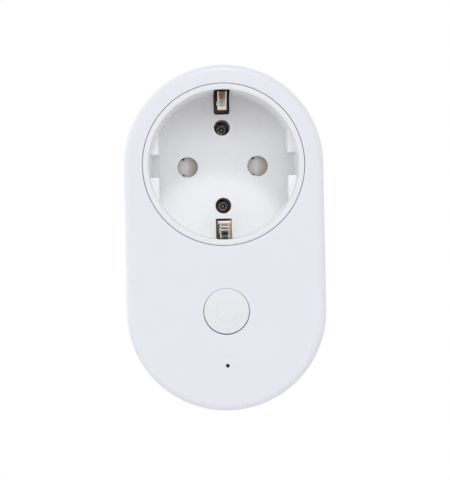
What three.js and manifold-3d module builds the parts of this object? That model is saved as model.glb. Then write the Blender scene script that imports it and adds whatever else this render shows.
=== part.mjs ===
// A smart plug: a stadium-shaped body with an earthed pass-through socket, a push button and an indicator on
// its front, and an earthed two-pin plug on its back. It switches the socket with a relay under radio control.
//
// Frame, in millimetres: +X right as seen from the front, +Z up, +Y into the wall. The origin is the centre of
// the plug's end face, on the common axis of plug and socket. The front face looks towards -Y.

import * as THREE from "three";
import { mergeVertices } from "three/addons/utils/BufferGeometryUtils.js";
import Module from "manifold-3d";

const wasm = await Module();
wasm.setup();

// ---- Driving dimensions ----------------------------------------------------------------------------------

// Body: two half circles joined by straight sides
const BODY_RADIUS = 26.25;
const LOWER_Z = -38.4; // centre of the lower half circle, where the button is
const FRONT_Y = -41.5;
const BACK_Y = -17.2; // the body's back face, which meets the wall plate
const PARTING_Y = -19.9; // front of the back cover
const SEAM = 0.3;
const WALL = 2.0;
const FRONT_ROUND = 3.0;
const BACK_ROUND = 1.6;
const INNER_Y = FRONT_Y + WALL; // inside of the front wall

// Socket recess
const WELL_RADIUS = 21.15; // outside of the insert
const OPENING_RADIUS = 21.35; // hole in the shell that the insert fills
const RECESS_MOUTH = 19.65;
const RECESS_FLOOR = 19.35;
const FLOOR_Y = FRONT_Y + 17.5;
const FLOOR_BACK_Y = FLOOR_Y + 1.3;
const FLANGE_RADIUS = 22.3;
const GUIDE_X = 17.1; // flat face of the side guides
const GUIDE_FRONT_Y = FRONT_Y + 4.0;
const GROOVE_HALF = 3.05;
const PIN_X = 9.5; // pins and pin holes are 19 mm apart
const PIN_HOLE = 2.75;
const SLOT_HALF = 2.15;
const SLOT_Z = 14.1; // inner edge of the earth slots
const SCREW_Z = 10.6;
const SCREW_BORE = 2.15;
const TUBE_RADIUS = 3.1;
const TUBE_END_Y = -8.3;
const SCREW_SEAT_Y = -9.6;

// Plug
const PIN_RADIUS = 2.4;
const PIN_LENGTH = 19;
const SPIGOT_RADIUS = 18.6;
const SPIGOT_FLAT_X = 16.9;
const SPIGOT_RIB_HALF = 2.6;
const SPIGOT_CAVITY = 14.3;
const END_WALL = 2.2;
const CHANNEL_Z = 15.2; // floor of the channels that hold the plug's earth contacts
const CHANNEL_HALF = 4.0;
const EARTH_STRIP_Z = 15.4;
const EARTH_STRIP_THICK = 0.7;
const EARTH_STRIP_HALF = 2.5;

// Earth clips, seen from the side as (y, z) along the middle of the strip
const CLIP_PATH = [
  [-21.1, 17.4],
  [-25.0, 17.4],
  [-28.2, 16.5],
  [-30.6, 15.35],
  [-31.8, 15.1],
  [-33.0, 15.35],
  [-36.4, 17.4],
  [-38.7, 18.8],
  [-39.7, 19.1],
];
const CLIP_THICK = 0.6;
const CLIP_SHOULDER_Y = -31.4; // the strip narrows in front of this
const CLIP_TONGUE_HALF = 1.2;
const CLIP_ROOT_HALF = 1.7;
const CLIP_FOOT_Y = [-21.4, -20.8];
const STRAP_Y = [-22.2, -21.6];
const STRAP_RADII = [20.7, 22.5];
const CARD_Y = [-22.6, -22.35]; // insulating cards between the socket's floor and the strap
const CARD_WALL_Z = [21.55, 21.85];
const CARD_FRONT_Y = -37.8;
const CARD_HALF = 3.4;

// Shutter, which slides along +X to uncover the pin holes
const SHUTTER_Y = [-21.2, -20.4];
const RAMP_TOP_Y = -22.2;
const SHUTTER_HALF = 3.6;
const SHUTTER_TRAVEL = 5.4;
const SPRING_X = [-17.8, -6.4];
const SPRING_Z = 5.2;
const SPRING_Y = -21.2;
const SPRING_COIL = 0.8;
const SPRING_WIRE = 0.16;
const SPRING_TURNS = 8;

// Button, indicator and boards
const BUTTON_RADIUS = 6.15;
const BUTTON_HOLE = 6.3;
const BUTTON_FLANGE = 7.1;
const INDICATOR_Z = -52.7;
const INDICATOR_HOLE = 0.55;
const CONTROL_BOARD_Y = [-34.9, -33.7];
const MAIN_BOARD_Y = [-23.6, -22.0];
const BOARD_RADIUS = 22.6;
const CONTROL_POSTS = [
  [-18.0, -38.4],
  [12.5, -52.0],
];
const MAIN_POSTS = [
  [-2.5, -28.0],
  [0, -58.3],
];
const BUSBAR_Y = [-21.1, -20.3];
const BUSBAR_END_Z = [-24.6, -23.8];
const BOARD_TOP_Z = -22.9;
const PIN_BUSBAR_X = [7.6, 10.2];
const LOAD_BUSBAR_X = [10.8, 12.8];

const RING_SEGMENTS = 64;
const ROD_SEGMENTS = 24;
const BIG = 60; // longer than the part, for cutting blocks

// ---- Materials -------------------------------------------------------------------------------------------

const finish = (color, roughness, metalness = 0) =>
  new THREE.MeshStandardMaterial({ color, roughness, metalness });
const shellWhite = finish(0xe4e8ee, 0.4);
const insertWhite = finish(0xe9ebef, 0.35);
const shutterGrey = finish(0xb9b9b5, 0.5);
const nickel = finish(0xc9c0b2, 0.25, 1);
const phenolicBrown = finish(0x6b5138, 0.6);
const brass = finish(0xb8974f, 0.3, 1);
const darkSteel = finish(0x4a4240, 0.45, 1);
const springSteel = finish(0x9a9a9a, 0.3, 1);
const smokedLens = finish(0x14121c, 0.2);
const boardGreen = finish(0x1f5a3a, 0.5);
const blackPlastic = finish(0x1c1c1e, 0.5);
const relayBlue = finish(0x1f4f9e, 0.45);
const filmYellow = finish(0xe0b32a, 0.45);
const canBlack = finish(0x22242a, 0.35);
const ferrite = finish(0x35353a, 0.7);
const tapeYellow = finish(0xe8d24a, 0.6);
const ceramic = finish(0xd8c9a8, 0.6);
const varistorBlue = finish(0x2c62b8, 0.5);
const shieldTin = finish(0xb8bcc0, 0.35, 1);
const ledWhite = finish(0xf2ecc8, 0.4);
const manganin = finish(0xa0724c, 0.4, 1);

// ---- Solids from three.js geometry -----------------------------------------------------------------------

/** Turns a closed geometry into a solid that can be joined and cut. */
function solidOf(geometry) {
  const bare = geometry.index ? geometry.toNonIndexed() : geometry.clone();
  bare.deleteAttribute("normal");
  bare.deleteAttribute("uv");
  const merged = mergeVertices(bare, 1e-4);
  const index = merged.index.array;
  const triangles = [];
  for (let i = 0; i < index.length; i += 3) {
    const [a, b, c] = index.slice(i, i + 3);
    if (a !== b && b !== c && c !== a) triangles.push(a, b, c);
  }
  return new wasm.Manifold(
    new wasm.Mesh({
      numProp: 3,
      vertProperties: merged.attributes.position.array,
      triVerts: new Uint32Array(triangles),
    }),
  );
}

/** Turns a solid back into a geometry that a mesh can show. */
function geometryOf(solid) {
  const { numProp, numVert, vertProperties, triVerts } = solid.getMesh();
  const positions = new Float32Array(numVert * 3);
  for (let i = 0; i < numVert; i++)
    positions.set(
      vertProperties.subarray(i * numProp, i * numProp + 3),
      i * 3,
    );
  const geometry = new THREE.BufferGeometry();
  geometry.setAttribute("position", new THREE.BufferAttribute(positions, 3));
  geometry.setIndex(new THREE.BufferAttribute(new Uint32Array(triVerts), 1));
  geometry.computeVertexNormals();
  return geometry;
}

const join = (...solids) => solids.reduce((a, b) => a.add(b));
const cut = (body, ...tools) => tools.reduce((a, b) => a.subtract(b), body);

/** A block between two x, two y and two z values. */
function block(x0, x1, y0, y1, z0, z1) {
  const geometry = new THREE.BoxGeometry(x1 - x0, y1 - y0, z1 - z0);
  return solidOf(
    geometry.translate((x0 + x1) / 2, (y0 + y1) / 2, (z0 + z1) / 2),
  );
}

/** A round rod along Y, centred on (x, z). */
function rod(radius, y0, y1, x = 0, z = 0, segments = ROD_SEGMENTS) {
  const geometry = new THREE.CylinderGeometry(radius, radius, y1 - y0, segments);
  return solidOf(geometry.translate(x, (y0 + y1) / 2, z));
}

/** A solid turned about the Y axis from [radius, y] points listed towards +Y on the outside. */
function turned(profile, segments = ROD_SEGMENTS) {
  const points = profile.map(([r, y]) => new THREE.Vector2(r, y));
  return solidOf(new THREE.LatheGeometry(points, segments));
}

/** A solid extruded along Y from a shape drawn in x and z. */
function prism(shape, y0, y1, curveSegments = 32) {
  const geometry = new THREE.ExtrudeGeometry(shape, {
    depth: y1 - y0,
    bevelEnabled: false,
    curveSegments,
  });
  return solidOf(geometry.rotateX(Math.PI / 2).translate(0, y1, 0));
}

/** A solid extruded along X from a shape drawn in y and z. */
function sidePrism(shape, x0, x1) {
  const geometry = new THREE.ExtrudeGeometry(shape, {
    depth: x1 - x0,
    bevelEnabled: false,
  });
  const axes = new THREE.Matrix4().makeBasis(
    new THREE.Vector3(0, 1, 0),
    new THREE.Vector3(0, 0, 1),
    new THREE.Vector3(1, 0, 0),
  );
  return solidOf(geometry.applyMatrix4(axes).translate(x0, 0, 0));
}

/** The body's outline: half circles about the socket axis and about LOWER_Z. */
function stadium(radius) {
  const shape = new THREE.Shape();
  shape.absarc(0, 0, radius, 0, Math.PI, false);
  shape.absarc(0, LOWER_Z, radius, Math.PI, 2 * Math.PI, false);
  shape.closePath();
  return shape;
}

/** A stadium block with both ends rounded over. */
function roundedStadium(radius, y0, y1, round) {
  const geometry = new THREE.ExtrudeGeometry(stadium(radius), {
    depth: y1 - y0 - 2 * round,
    bevelEnabled: true,
    bevelThickness: round,
    bevelSize: round,
    bevelOffset: -round,
    bevelSegments: 5,
    curveSegments: 32,
  });
  return solidOf(geometry.rotateX(Math.PI / 2).translate(0, y1 - round, 0));
}

/** A box with rounded upright corners that stands on y = 0 and rises towards -Y. */
function casing(width, height, rise, corner = 0.4) {
  const [w, h] = [width / 2, height / 2];
  const shape = new THREE.Shape();
  shape.absarc(w - corner, h - corner, corner, 0, Math.PI / 2, false);
  shape.absarc(corner - w, h - corner, corner, Math.PI / 2, Math.PI, false);
  shape.absarc(corner - w, corner - h, corner, Math.PI, 1.5 * Math.PI, false);
  shape.absarc(w - corner, corner - h, corner, 1.5 * Math.PI, 2 * Math.PI, false);
  shape.closePath();
  return prism(shape, -rise, 0, 4);
}

const part = new THREE.Group();

/** Adds a named sub-part to the assembly. */
function add(name, solid, material, x = 0, y = 0, z = 0) {
  const mesh = new THREE.Mesh(geometryOf(solid), material);
  mesh.name = name;
  mesh.position.set(x, y, z);
  part.add(mesh);
  return mesh;
}

/** The same solid on the other side of the plane z = 0. */
const mirroredZ = (solid) => solid.mirror([0, 0, 1]);

// ---- Housing ---------------------------------------------------------------------------------------------

/** The front cup: front wall, side wall, holes, and posts for the control board. */
function frontShell() {
  const rear = PARTING_Y - SEAM;
  const outer = roundedStadium(BODY_RADIUS, FRONT_Y, rear + FRONT_ROUND, FRONT_ROUND);
  const inner = roundedStadium(BODY_RADIUS - WALL, INNER_Y, rear + FRONT_ROUND, 1.5);
  const behind = block(-BIG, BIG, rear, BIG, -2 * BIG, BIG);
  const lensCollar = cut(
    rod(2.6, INNER_Y - 0.1, -37.5, 0, INDICATOR_Z),
    rod(1.7, INNER_Y - 0.2, -37, 0, INDICATOR_Z),
  );
  const posts = CONTROL_POSTS.map(([x, z]) =>
    cut(
      rod(1.9, INNER_Y - 0.1, CONTROL_BOARD_Y[0] - 0.1, x, z),
      rod(0.85, INNER_Y + 0.6, BACK_Y, x, z, 12),
    ),
  );
  return cut(
    join(cut(outer, inner, behind), lensCollar, ...posts),
    rod(OPENING_RADIUS, FRONT_Y - 1, INNER_Y + 0.5, 0, 0, RING_SEGMENTS),
    rod(BUTTON_HOLE, FRONT_Y - 1, INNER_Y + 0.5, 0, LOWER_Z, 48),
    rod(INDICATOR_HOLE, FRONT_Y - 1, INNER_Y + 0.5, 0, INDICATOR_Z, 12),
  );
}

/** The plug's round body, with side flats, guide ribs and channels for the earth contacts. */
function spigot() {
  const body = turned(
    [
      [0, BACK_Y - 0.3],
      [SPIGOT_RADIUS, BACK_Y - 0.3],
      [SPIGOT_RADIUS, -0.8],
      [SPIGOT_RADIUS - 0.8, 0],
      [0, 0],
    ],
    RING_SEGMENTS,
  );
  const flats = [-1, 1].flatMap((side) =>
    [-1, 1].map((end) => {
      const x = [side * SPIGOT_FLAT_X, side * BIG].sort((a, b) => a - b);
      const z = [end * SPIGOT_RIB_HALF, end * BIG].sort((a, b) => a - b);
      return block(...x, BACK_Y, 1, ...z);
    }),
  );
  const channels = [
    block(-CHANNEL_HALF, CHANNEL_HALF, BACK_Y, 1, CHANNEL_Z, BIG),
    block(-CHANNEL_HALF, CHANNEL_HALF, BACK_Y, 1, -BIG, -CHANNEL_Z),
  ];
  return cut(body, ...flats, ...channels);
}

/** The rear plate with its locating lip, the plug's hollow spigot, bosses and posts. */
function backCover() {
  const plate = cut(
    roundedStadium(BODY_RADIUS, PARTING_Y - 2 * BACK_ROUND, BACK_Y, BACK_ROUND),
    block(-BIG, BIG, -BIG, PARTING_Y, -2 * BIG, BIG),
  );
  const lip = cut(
    prism(stadium(BODY_RADIUS - WALL - 0.25), PARTING_Y - 1.8, PARTING_Y + 0.5),
    prism(stadium(BODY_RADIUS - WALL - 1.15), PARTING_Y - 2, PARTING_Y + 1),
  );
  const posts = MAIN_POSTS.map(([x, z]) =>
    rod(2.4, MAIN_BOARD_Y[1] + 0.1, PARTING_Y + 0.5, x, z),
  );
  const pilots = MAIN_POSTS.map(([x, z]) => rod(0.85, -22.5, -19.6, x, z, 12));
  const hollow = rod(SPIGOT_CAVITY, PARTING_Y - 1, -END_WALL, 0, 0, RING_SEGMENTS);
  const pocket = block(-20.3, 20.0, PARTING_Y - 1, -18.8, -4.9, 7.3);
  const bosses = [-SCREW_Z, SCREW_Z].map((z) =>
    rod(2.6, TUBE_END_Y + SEAM, -END_WALL + 0.5, 0, z),
  );
  const bossPilots = [-SCREW_Z, SCREW_Z].map((z) =>
    rod(0.95, TUBE_END_Y - 1, -1.2, 0, z, 12),
  );
  const pinHoles = [-PIN_X, PIN_X].map((x) => rod(PIN_RADIUS + 0.05, -5, 1, x, 0));
  const stripSlot = block(-2.7, 2.7, PARTING_Y - 1, BACK_Y + 0.2, CHANNEL_Z, 16.3);
  const shell = cut(join(plate, lip, spigot()), hollow, pocket);
  return cut(
    join(shell, ...posts, ...bosses),
    ...pilots,
    ...bossPilots,
    ...pinHoles,
    stripSlot,
    mirroredZ(stripSlot),
  );
}

// ---- Socket insert ---------------------------------------------------------------------------------------

/** One side guide: a segment of the recess with a groove across its middle. */
function sideGuide(side) {
  const x = [side * GUIDE_X, side * 20.6].sort((a, b) => a - b);
  const segment = rod(20.6, GUIDE_FRONT_Y, FLOOR_Y + 0.5, 0, 0, RING_SEGMENTS).intersect(
    block(...x, -BIG, BIG, -BIG, BIG),
  );
  return cut(segment, block(-BIG, BIG, -BIG, FLOOR_Y, -GROOVE_HALF, GROOVE_HALF));
}

/** The socket recess: rim, wall, flange, floor, guides, pin holes, earth slots and screw tubes. */
function socketWell() {
  const outside = turned(
    [
      [0, FRONT_Y],
      [WELL_RADIUS - 0.3, FRONT_Y],
      [WELL_RADIUS, FRONT_Y + 0.3],
      [WELL_RADIUS, INNER_Y + 0.2],
      [FLANGE_RADIUS, INNER_Y + 0.2],
      [FLANGE_RADIUS, INNER_Y + 1.4],
      [WELL_RADIUS, INNER_Y + 1.4],
      [WELL_RADIUS, FLOOR_BACK_Y],
      [0, FLOOR_BACK_Y],
    ],
    RING_SEGMENTS,
  );
  const recess = turned(
    [
      [0, FRONT_Y - 1],
      [RECESS_MOUTH + 0.3, FRONT_Y - 1],
      [RECESS_MOUTH + 0.3, FRONT_Y],
      [RECESS_MOUTH, FRONT_Y + 0.4],
      [RECESS_FLOOR, FLOOR_Y],
      [0, FLOOR_Y],
    ],
    RING_SEGMENTS,
  );
  const medallion = rod(3.55, FLOOR_Y - 0.15, FLOOR_Y + 0.5, 0, 0, 32);
  const tubes = [-SCREW_Z, SCREW_Z].map((z) => rod(TUBE_RADIUS, FLOOR_Y + 0.5, TUBE_END_Y, 0, z));
  const slot = block(-SLOT_HALF, SLOT_HALF, FRONT_Y + 1.1, FLOOR_BACK_Y + 1, SLOT_Z, BIG);
  const bores = [-SCREW_Z, SCREW_Z].flatMap((z) => [
    rod(SCREW_BORE, FLOOR_Y - 1, SCREW_SEAT_Y, 0, z),
    rod(1.1, SCREW_SEAT_Y - 1, TUBE_END_Y + 1, 0, z, 16),
  ]);
  const pinHoles = [-PIN_X, PIN_X].map((x) => rod(PIN_HOLE, FLOOR_Y - 1, FLOOR_BACK_Y + 1, x, 0, 32));
  const body = join(cut(outside, recess), sideGuide(-1), sideGuide(1), medallion, ...tubes);
  return cut(body, ...bores, ...pinHoles, slot, mirroredZ(slot));
}

/** A pan-head screw along Y: its head towards -Y with a six-sided drive, its shank towards +Y. */
function screw(headRadius, headRise, shankRadius, shankLength) {
  return cut(
    join(rod(headRadius, -headRise, 0), rod(shankRadius, -0.2, shankLength, 0, 0, 12)),
    rod(headRadius * 0.45, -headRise - 1, -headRise * 0.45, 0, 0, 6),
  );
}

// ---- Earthing --------------------------------------------------------------------------------------------

/** The outline of a bent strip of even thickness that follows a smooth line through (y, z) points. */
function stripOutline(points, thickness, steps) {
  const line = new THREE.SplineCurve(points.map(([y, z]) => new THREE.Vector2(y, z)));
  const sides = [[], []];
  for (let i = 0; i <= steps; i++) {
    const t = i / steps;
    const tangent = line.getTangent(t);
    const offset = new THREE.Vector2(-tangent.y, tangent.x).multiplyScalar(thickness / 2);
    const middle = line.getPoint(t);
    sides[0].push(middle.clone().add(offset));
    sides[1].unshift(middle.clone().sub(offset));
  }
  return new THREE.Shape([...sides[0], ...sides[1]]);
}

/** The upper earth clip: a foot, a wide root and a narrow tongue that bulges into the recess. */
function earthClip() {
  const outline = stripOutline(CLIP_PATH, CLIP_THICK, 24);
  const strip = cut(
    sidePrism(outline, -CLIP_ROOT_HALF, CLIP_ROOT_HALF),
    block(CLIP_TONGUE_HALF, BIG, -BIG, CLIP_SHOULDER_Y, -BIG, BIG),
    block(-BIG, -CLIP_TONGUE_HALF, -BIG, CLIP_SHOULDER_Y, -BIG, BIG),
  );
  return join(strip, block(-3.2, 3.2, ...CLIP_FOOT_Y, 15.9, 18.9));
}

/** The strap that links both earth clips round the right of the socket, with a window for each clip. */
function earthStrap() {
  const [inside, outside] = STRAP_RADII;
  const reach = THREE.MathUtils.degToRad(98);
  const arc = new THREE.Shape();
  arc.absarc(0, 0, outside, -reach, reach, false);
  arc.absarc(0, 0, inside, reach, -reach, true);
  arc.closePath();
  const tab = cut(
    block(-3.4, 3.4, ...STRAP_Y, EARTH_STRIP_Z - 0.2, 21.5),
    block(-2.0, 2.0, -BIG, BIG, 16.2, 18.6),
  );
  return join(prism(arc, ...STRAP_Y), tab, mirroredZ(tab));
}

/** The upper insulating card: a leg behind the floor, with a window for the clip, and a leg along the wall. */
function earthCard() {
  const floorLeg = cut(
    block(-CARD_HALF, CARD_HALF, ...CARD_Y, 14.4, CARD_WALL_Z[1]),
    block(-1.95, 1.95, -BIG, BIG, 16.7, 18.3),
  );
  return join(floorLeg, block(-CARD_HALF, CARD_HALF, CARD_FRONT_Y, CARD_Y[1], ...CARD_WALL_Z));
}

/** The plug's upper earth contact, which runs through the rear plate to the strap. */
function plugEarthContact() {
  const outline = new THREE.Shape();
  const top = EARTH_STRIP_Z + EARTH_STRIP_THICK;
  outline.moveTo(-20.5, EARTH_STRIP_Z);
  outline.lineTo(-1.0, EARTH_STRIP_Z);
  outline.lineTo(-1.0, EARTH_STRIP_Z + 0.2);
  outline.quadraticCurveTo(-1.2, top, -2.4, top);
  outline.lineTo(-20.5, top);
  outline.closePath();
  return sidePrism(outline, -EARTH_STRIP_HALF, EARTH_STRIP_HALF);
}

// ---- Live and neutral ------------------------------------------------------------------------------------

/** A plug pin: rounded tip, collar inside the end wall, and a stub for the ring terminal. */
function plugPin() {
  return turned(
    [
      [0, -4.6],
      [1.35, -4.6],
      [1.35, -3.1],
      [3.3, -3.1],
      [3.3, -END_WALL - 0.1],
      [PIN_RADIUS, -END_WALL - 0.1],
      [PIN_RADIUS, PIN_LENGTH - 2.0],
      [PIN_RADIUS * 0.85, PIN_LENGTH - 0.9],
      [PIN_RADIUS * 0.5, PIN_LENGTH - 0.2],
      [0, PIN_LENGTH],
    ],
    32,
  );
}

/** A tulip receptacle: a sleeve with four fingers and a flared mouth towards the front. */
function receptacle() {
  const sleeve = turned(
    [
      [3.1, -18.0],
      [3.5, -17.9],
      [3.0, -17.0],
      [3.0, -5.8],
      [2.45, -5.8],
      [2.45, -17.0],
      [3.1, -18.0],
    ],
    32,
  );
  return cut(
    sleeve,
    block(-0.3, 0.3, -20, -8, -5, 5),
    block(-5, 5, -20, -8, -0.3, 0.3),
  );
}

/** A ring terminal round a pin's stub, as seen with the pin on the +X side. */
function ringTerminal() {
  return cut(rod(3.3, -4.1, -3.3, PIN_X, 0), rod(1.5, -5, -3, PIN_X, 0));
}

/** The strip from a plug pin to the main board: ring, leg along the spigot, leg behind the socket, tab. */
function pinBusbar() {
  const [x0, x1] = PIN_BUSBAR_X;
  return join(
    ringTerminal(),
    block(x0, x1, -4.1, -3.3, -8.6, -2.4),
    block(x0, x1, BUSBAR_Y[0], -3.3, -8.6, -7.8),
    block(x0, x1, ...BUSBAR_Y, BUSBAR_END_Z[0], -7.8),
    block(x0, x1, -24.6, BUSBAR_Y[1], ...BUSBAR_END_Z),
  );
}

/** The neutral strip also reaches the neutral receptacle with a side tab. */
function neutralBusbar() {
  const sideTab = block(12.65, 13.25, -8.0, -3.3, -1.0, 1.0);
  const bridge = block(12.0, 13.25, -4.1, -3.3, -1.0, 1.0);
  return join(pinBusbar(), sideTab, bridge).mirror([1, 0, 0]);
}

/** The strip from the relay's output to the live receptacle. */
function loadBusbar() {
  const [x0, x1] = LOAD_BUSBAR_X;
  const cradle = cut(block(x0, x1, -6.5, -5.7, -5.6, -1.0), rod(3.15, -8, -5, PIN_X, 0, 32));
  return join(
    cradle,
    block(x0, x1, BUSBAR_Y[0], -5.7, -5.6, -4.8),
    block(x0, x1, ...BUSBAR_Y, BUSBAR_END_Z[0], -4.8),
    block(x0, x1, -24.6, BUSBAR_Y[1], ...BUSBAR_END_Z),
  );
}

// ---- Shutter ---------------------------------------------------------------------------------------------

/** The sliding shutter: a plate with a ramp over each pin hole and a window to the left of each. */
function shutter() {
  const [front, back] = SHUTTER_Y;
  const plate = block(-19.0, 12.7, front, back, -SHUTTER_HALF, SHUTTER_HALF);
  const arm = block(-18.8, -17.9, -21.9, back, SHUTTER_HALF - 0.3, 6.2);
  const ramps = [-PIN_X, PIN_X].map((x) => {
    const wedge = new THREE.Shape();
    wedge.moveTo(x + 0.5, front + 0.1);
    wedge.lineTo(x + 0.5, front);
    wedge.lineTo(x + 2.9, RAMP_TOP_Y);
    wedge.lineTo(x + 3.2, RAMP_TOP_Y);
    wedge.lineTo(x + 3.2, front + 0.1);
    wedge.closePath();
    const height = 2 * (SHUTTER_HALF - 0.2);
    const geometry = new THREE.ExtrudeGeometry(wedge, { depth: height, bevelEnabled: false });
    return solidOf(geometry.translate(0, 0, -height / 2));
  });
  const windows = [-PIN_X, PIN_X].flatMap((x) => [
    block(x - 7.9, x - 2.8, -BIG, BIG, -2.9, 2.9),
    block(x - 3.0, x - 0.9, -BIG, BIG, 2.05, 2.9),
    block(x - 3.0, x - 0.9, -BIG, BIG, -2.9, -2.05),
  ]);
  return join(cut(join(plate, arm), ...windows), ...ramps);
}

/** The tray behind the shutter, with a bay for the spring and holes for the pins. */
function shutterRetainer() {
  const tray = join(
    block(-20.0, 19.6, RAMP_TOP_Y, -19.0, -4.6, 4.6),
    block(-20.0, -5.2, RAMP_TOP_Y, -19.0, -4.6, 7.0),
  );
  return cut(
    tray,
    block(-19.3, 18.9, -BIG, -20.1, -3.9, 3.9),
    block(-19.3, -6.2, -BIG, -20.1, 3.8, 6.4),
    ...[-PIN_X, PIN_X].map((x) => rod(2.9, -BIG, 0, x, 0)),
  );
}

/** A helix along X. */
class Helix extends THREE.Curve {
  getPoint(t, target = new THREE.Vector3()) {
    const angle = t * SPRING_TURNS * 2 * Math.PI;
    const margin = SPRING_WIRE + 0.02;
    const x = THREE.MathUtils.lerp(SPRING_X[0] + margin, SPRING_X[1] - margin, t);
    return target.set(
      x,
      SPRING_Y + SPRING_COIL * Math.cos(angle),
      SPRING_Z + SPRING_COIL * Math.sin(angle),
    );
  }
}

function shutterSpring() {
  const wire = new THREE.Shape();
  wire.absarc(0, 0, SPRING_WIRE, 0, 2 * Math.PI, false);
  return solidOf(
    new THREE.ExtrudeGeometry(wire, {
      steps: SPRING_TURNS * 12,
      curveSegments: 3,
      extrudePath: new Helix(),
    }),
  );
}

// ---- Button and indicator --------------------------------------------------------------------------------

/** The push button: a hollow cap with a retaining flange and a stem for the switch. */
function buttonCap() {
  return turned(
    [
      [0, FRONT_Y],
      [BUTTON_RADIUS - 0.3, FRONT_Y],
      [BUTTON_RADIUS, FRONT_Y + 0.3],
      [BUTTON_RADIUS, INNER_Y + 0.2],
      [BUTTON_FLANGE, INNER_Y + 0.2],
      [BUTTON_FLANGE, INNER_Y + 0.9],
      [5.0, INNER_Y + 0.9],
      [5.0, FRONT_Y + 1.2],
      [1.5, FRONT_Y + 1.2],
      [1.5, INNER_Y + 1.25],
      [0, INNER_Y + 1.25],
    ],
    48,
  );
}

function lightPipe() {
  return turned(
    [
      [0, FRONT_Y + 0.1],
      [INDICATOR_HOLE - 0.1, FRONT_Y + 0.1],
      [INDICATOR_HOLE - 0.1, INNER_Y + 0.2],
      [1.5, INNER_Y + 0.2],
      [1.5, -36.2],
      [0, -36.2],
    ],
    16,
  );
}

function tactSwitchBody() {
  return cut(casing(4.5, 4.5, 2.45, 0.3), rod(1.1, -3, -1.0));
}

// ---- Boards and what stands on them ----------------------------------------------------------------------

/** The front board carries the switch, the indicator lamp and the radio. It clears the relay. */
function controlBoard() {
  const [front, back] = CONTROL_BOARD_Y;
  return cut(
    rod(BOARD_RADIUS, front, back, 0, LOWER_Z, RING_SEGMENTS),
    block(-BIG, BIG, -BIG, BIG, -35.2, BIG),
    block(11.0, BIG, -BIG, BIG, -44.6, BIG),
    ...CONTROL_POSTS.map(([x, z]) => rod(0.95, -BIG, BIG, x, z, 12)),
  );
}

/** The rear board carries the power supply and the relay. Its top edge has a notch for each busbar. */
function mainBoard() {
  const [front, back] = MAIN_BOARD_Y;
  const [p0, p1] = PIN_BUSBAR_X;
  const notchesAt = [
    [p0, p1],
    [-p1, -p0],
    LOAD_BUSBAR_X,
  ];
  const notches = notchesAt.map(([x0, x1]) =>
    block(x0 - 0.15, x1 + 0.15, -BIG, BIG, BUSBAR_END_Z[0] - 0.15, BIG),
  );
  return cut(
    join(
      rod(BOARD_RADIUS, front, back, 0, LOWER_Z, RING_SEGMENTS),
      block(-BOARD_RADIUS, BOARD_RADIUS, front, back, LOWER_Z, BOARD_TOP_Z),
    ),
    block(-BIG, BIG, -BIG, BIG, BOARD_TOP_Z, BIG),
    ...notches,
    ...MAIN_POSTS.map(([x, z]) => rod(1.0, -BIG, BIG, x, z, 12)),
  );
}

/** An electrolytic capacitor lying along Z, with a crimp near its end. */
function electrolytic(radius, length) {
  const can = turned([
    [0, -length / 2],
    [radius - 0.3, -length / 2],
    [radius, 0.3 - length / 2],
    [radius, length / 2 - 2.2],
    [radius - 0.35, length / 2 - 1.8],
    [radius, length / 2 - 1.4],
    [radius, length / 2 - 0.4],
    [radius - 0.5, length / 2],
    [0, length / 2],
  ]);
  return can.rotate([90, 0, 0]);
}

/** The transformer's core: a frame round the winding. */
function transformerCore(width, rise, depth) {
  return cut(
    casing(width, depth, rise, 0.3),
    block(2 - width / 2, width / 2 - 2, 1.75 - rise, -1.75, -BIG, BIG),
  );
}

/** The winding, wrapped in tape, which fills the core's window. */
function transformerWinding(width, rise, length) {
  return casing(width - 4.4, length, rise - 4.0, 0.8);
}

/** A cartridge fuse along X with a metal cap at each end, on two short legs. */
function fuse(length, radius) {
  const tube = turned([
    [0, -length / 2],
    [radius, -length / 2],
    [radius, 2 - length / 2],
    [radius - 0.25, 2 - length / 2],
    [radius - 0.25, length / 2 - 2],
    [radius, length / 2 - 2],
    [radius, length / 2],
    [0, length / 2],
  ]).rotate([0, 0, 90]);
  const legs = [-1, 1].map((end) => {
    const x = end * (length / 2 - 1);
    return block(x - 0.3, x + 0.3, 0, radius + 0.4, -0.3, 0.3);
  });
  return join(tube, ...legs);
}

/** A disc varistor that stands on two legs, its flat sides towards X. */
function varistor(radius, thickness) {
  const disc = turned([
    [0, -thickness / 2],
    [radius - 0.8, -thickness / 2],
    [radius, 0.8 - thickness / 2],
    [radius, thickness / 2 - 0.8],
    [radius - 0.8, thickness / 2],
    [0, thickness / 2],
  ]).rotate([0, 0, 90]);
  const legs = [-1, 1].map((end) => block(-0.3, 0.3, 0, radius + 0.6, end * 2 - 0.3, end * 2 + 0.3));
  return join(disc, ...legs);
}

/** A drum choke that stands on the board. */
function choke() {
  return turned([
    [0, -8.0],
    [3.2, -8.0],
    [3.2, -6.9],
    [2.7, -6.9],
    [2.7, -1.1],
    [3.2, -1.1],
    [3.2, 0],
    [0, 0],
  ]);
}

/** A moulded package with a row of legs on each long side. */
function packagedChip(width, height, rise, legsPerSide) {
  const pitch = width / legsPerSide;
  const legs = [];
  for (let i = 0; i < legsPerSide; i++) {
    const x = (i + 0.5) * pitch - width / 2;
    const legHalf = pitch * 0.18;
    legs.push(block(x - legHalf, x + legHalf, -rise * 0.5, 0, -height / 2 - 0.9, height / 2 + 0.9));
  }
  const body = casing(width, height, rise - 0.2, 0.2).translate([0, -0.1, 0]);
  return join(body, ...legs);
}

/** A current shunt: a flat strip bent into a bridge. */
function shunt() {
  return cut(block(-4, 4, -4, 0, -1.2, 1.2), block(-3.3, 3.3, -3.3, 1, -2, 2));
}

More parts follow.
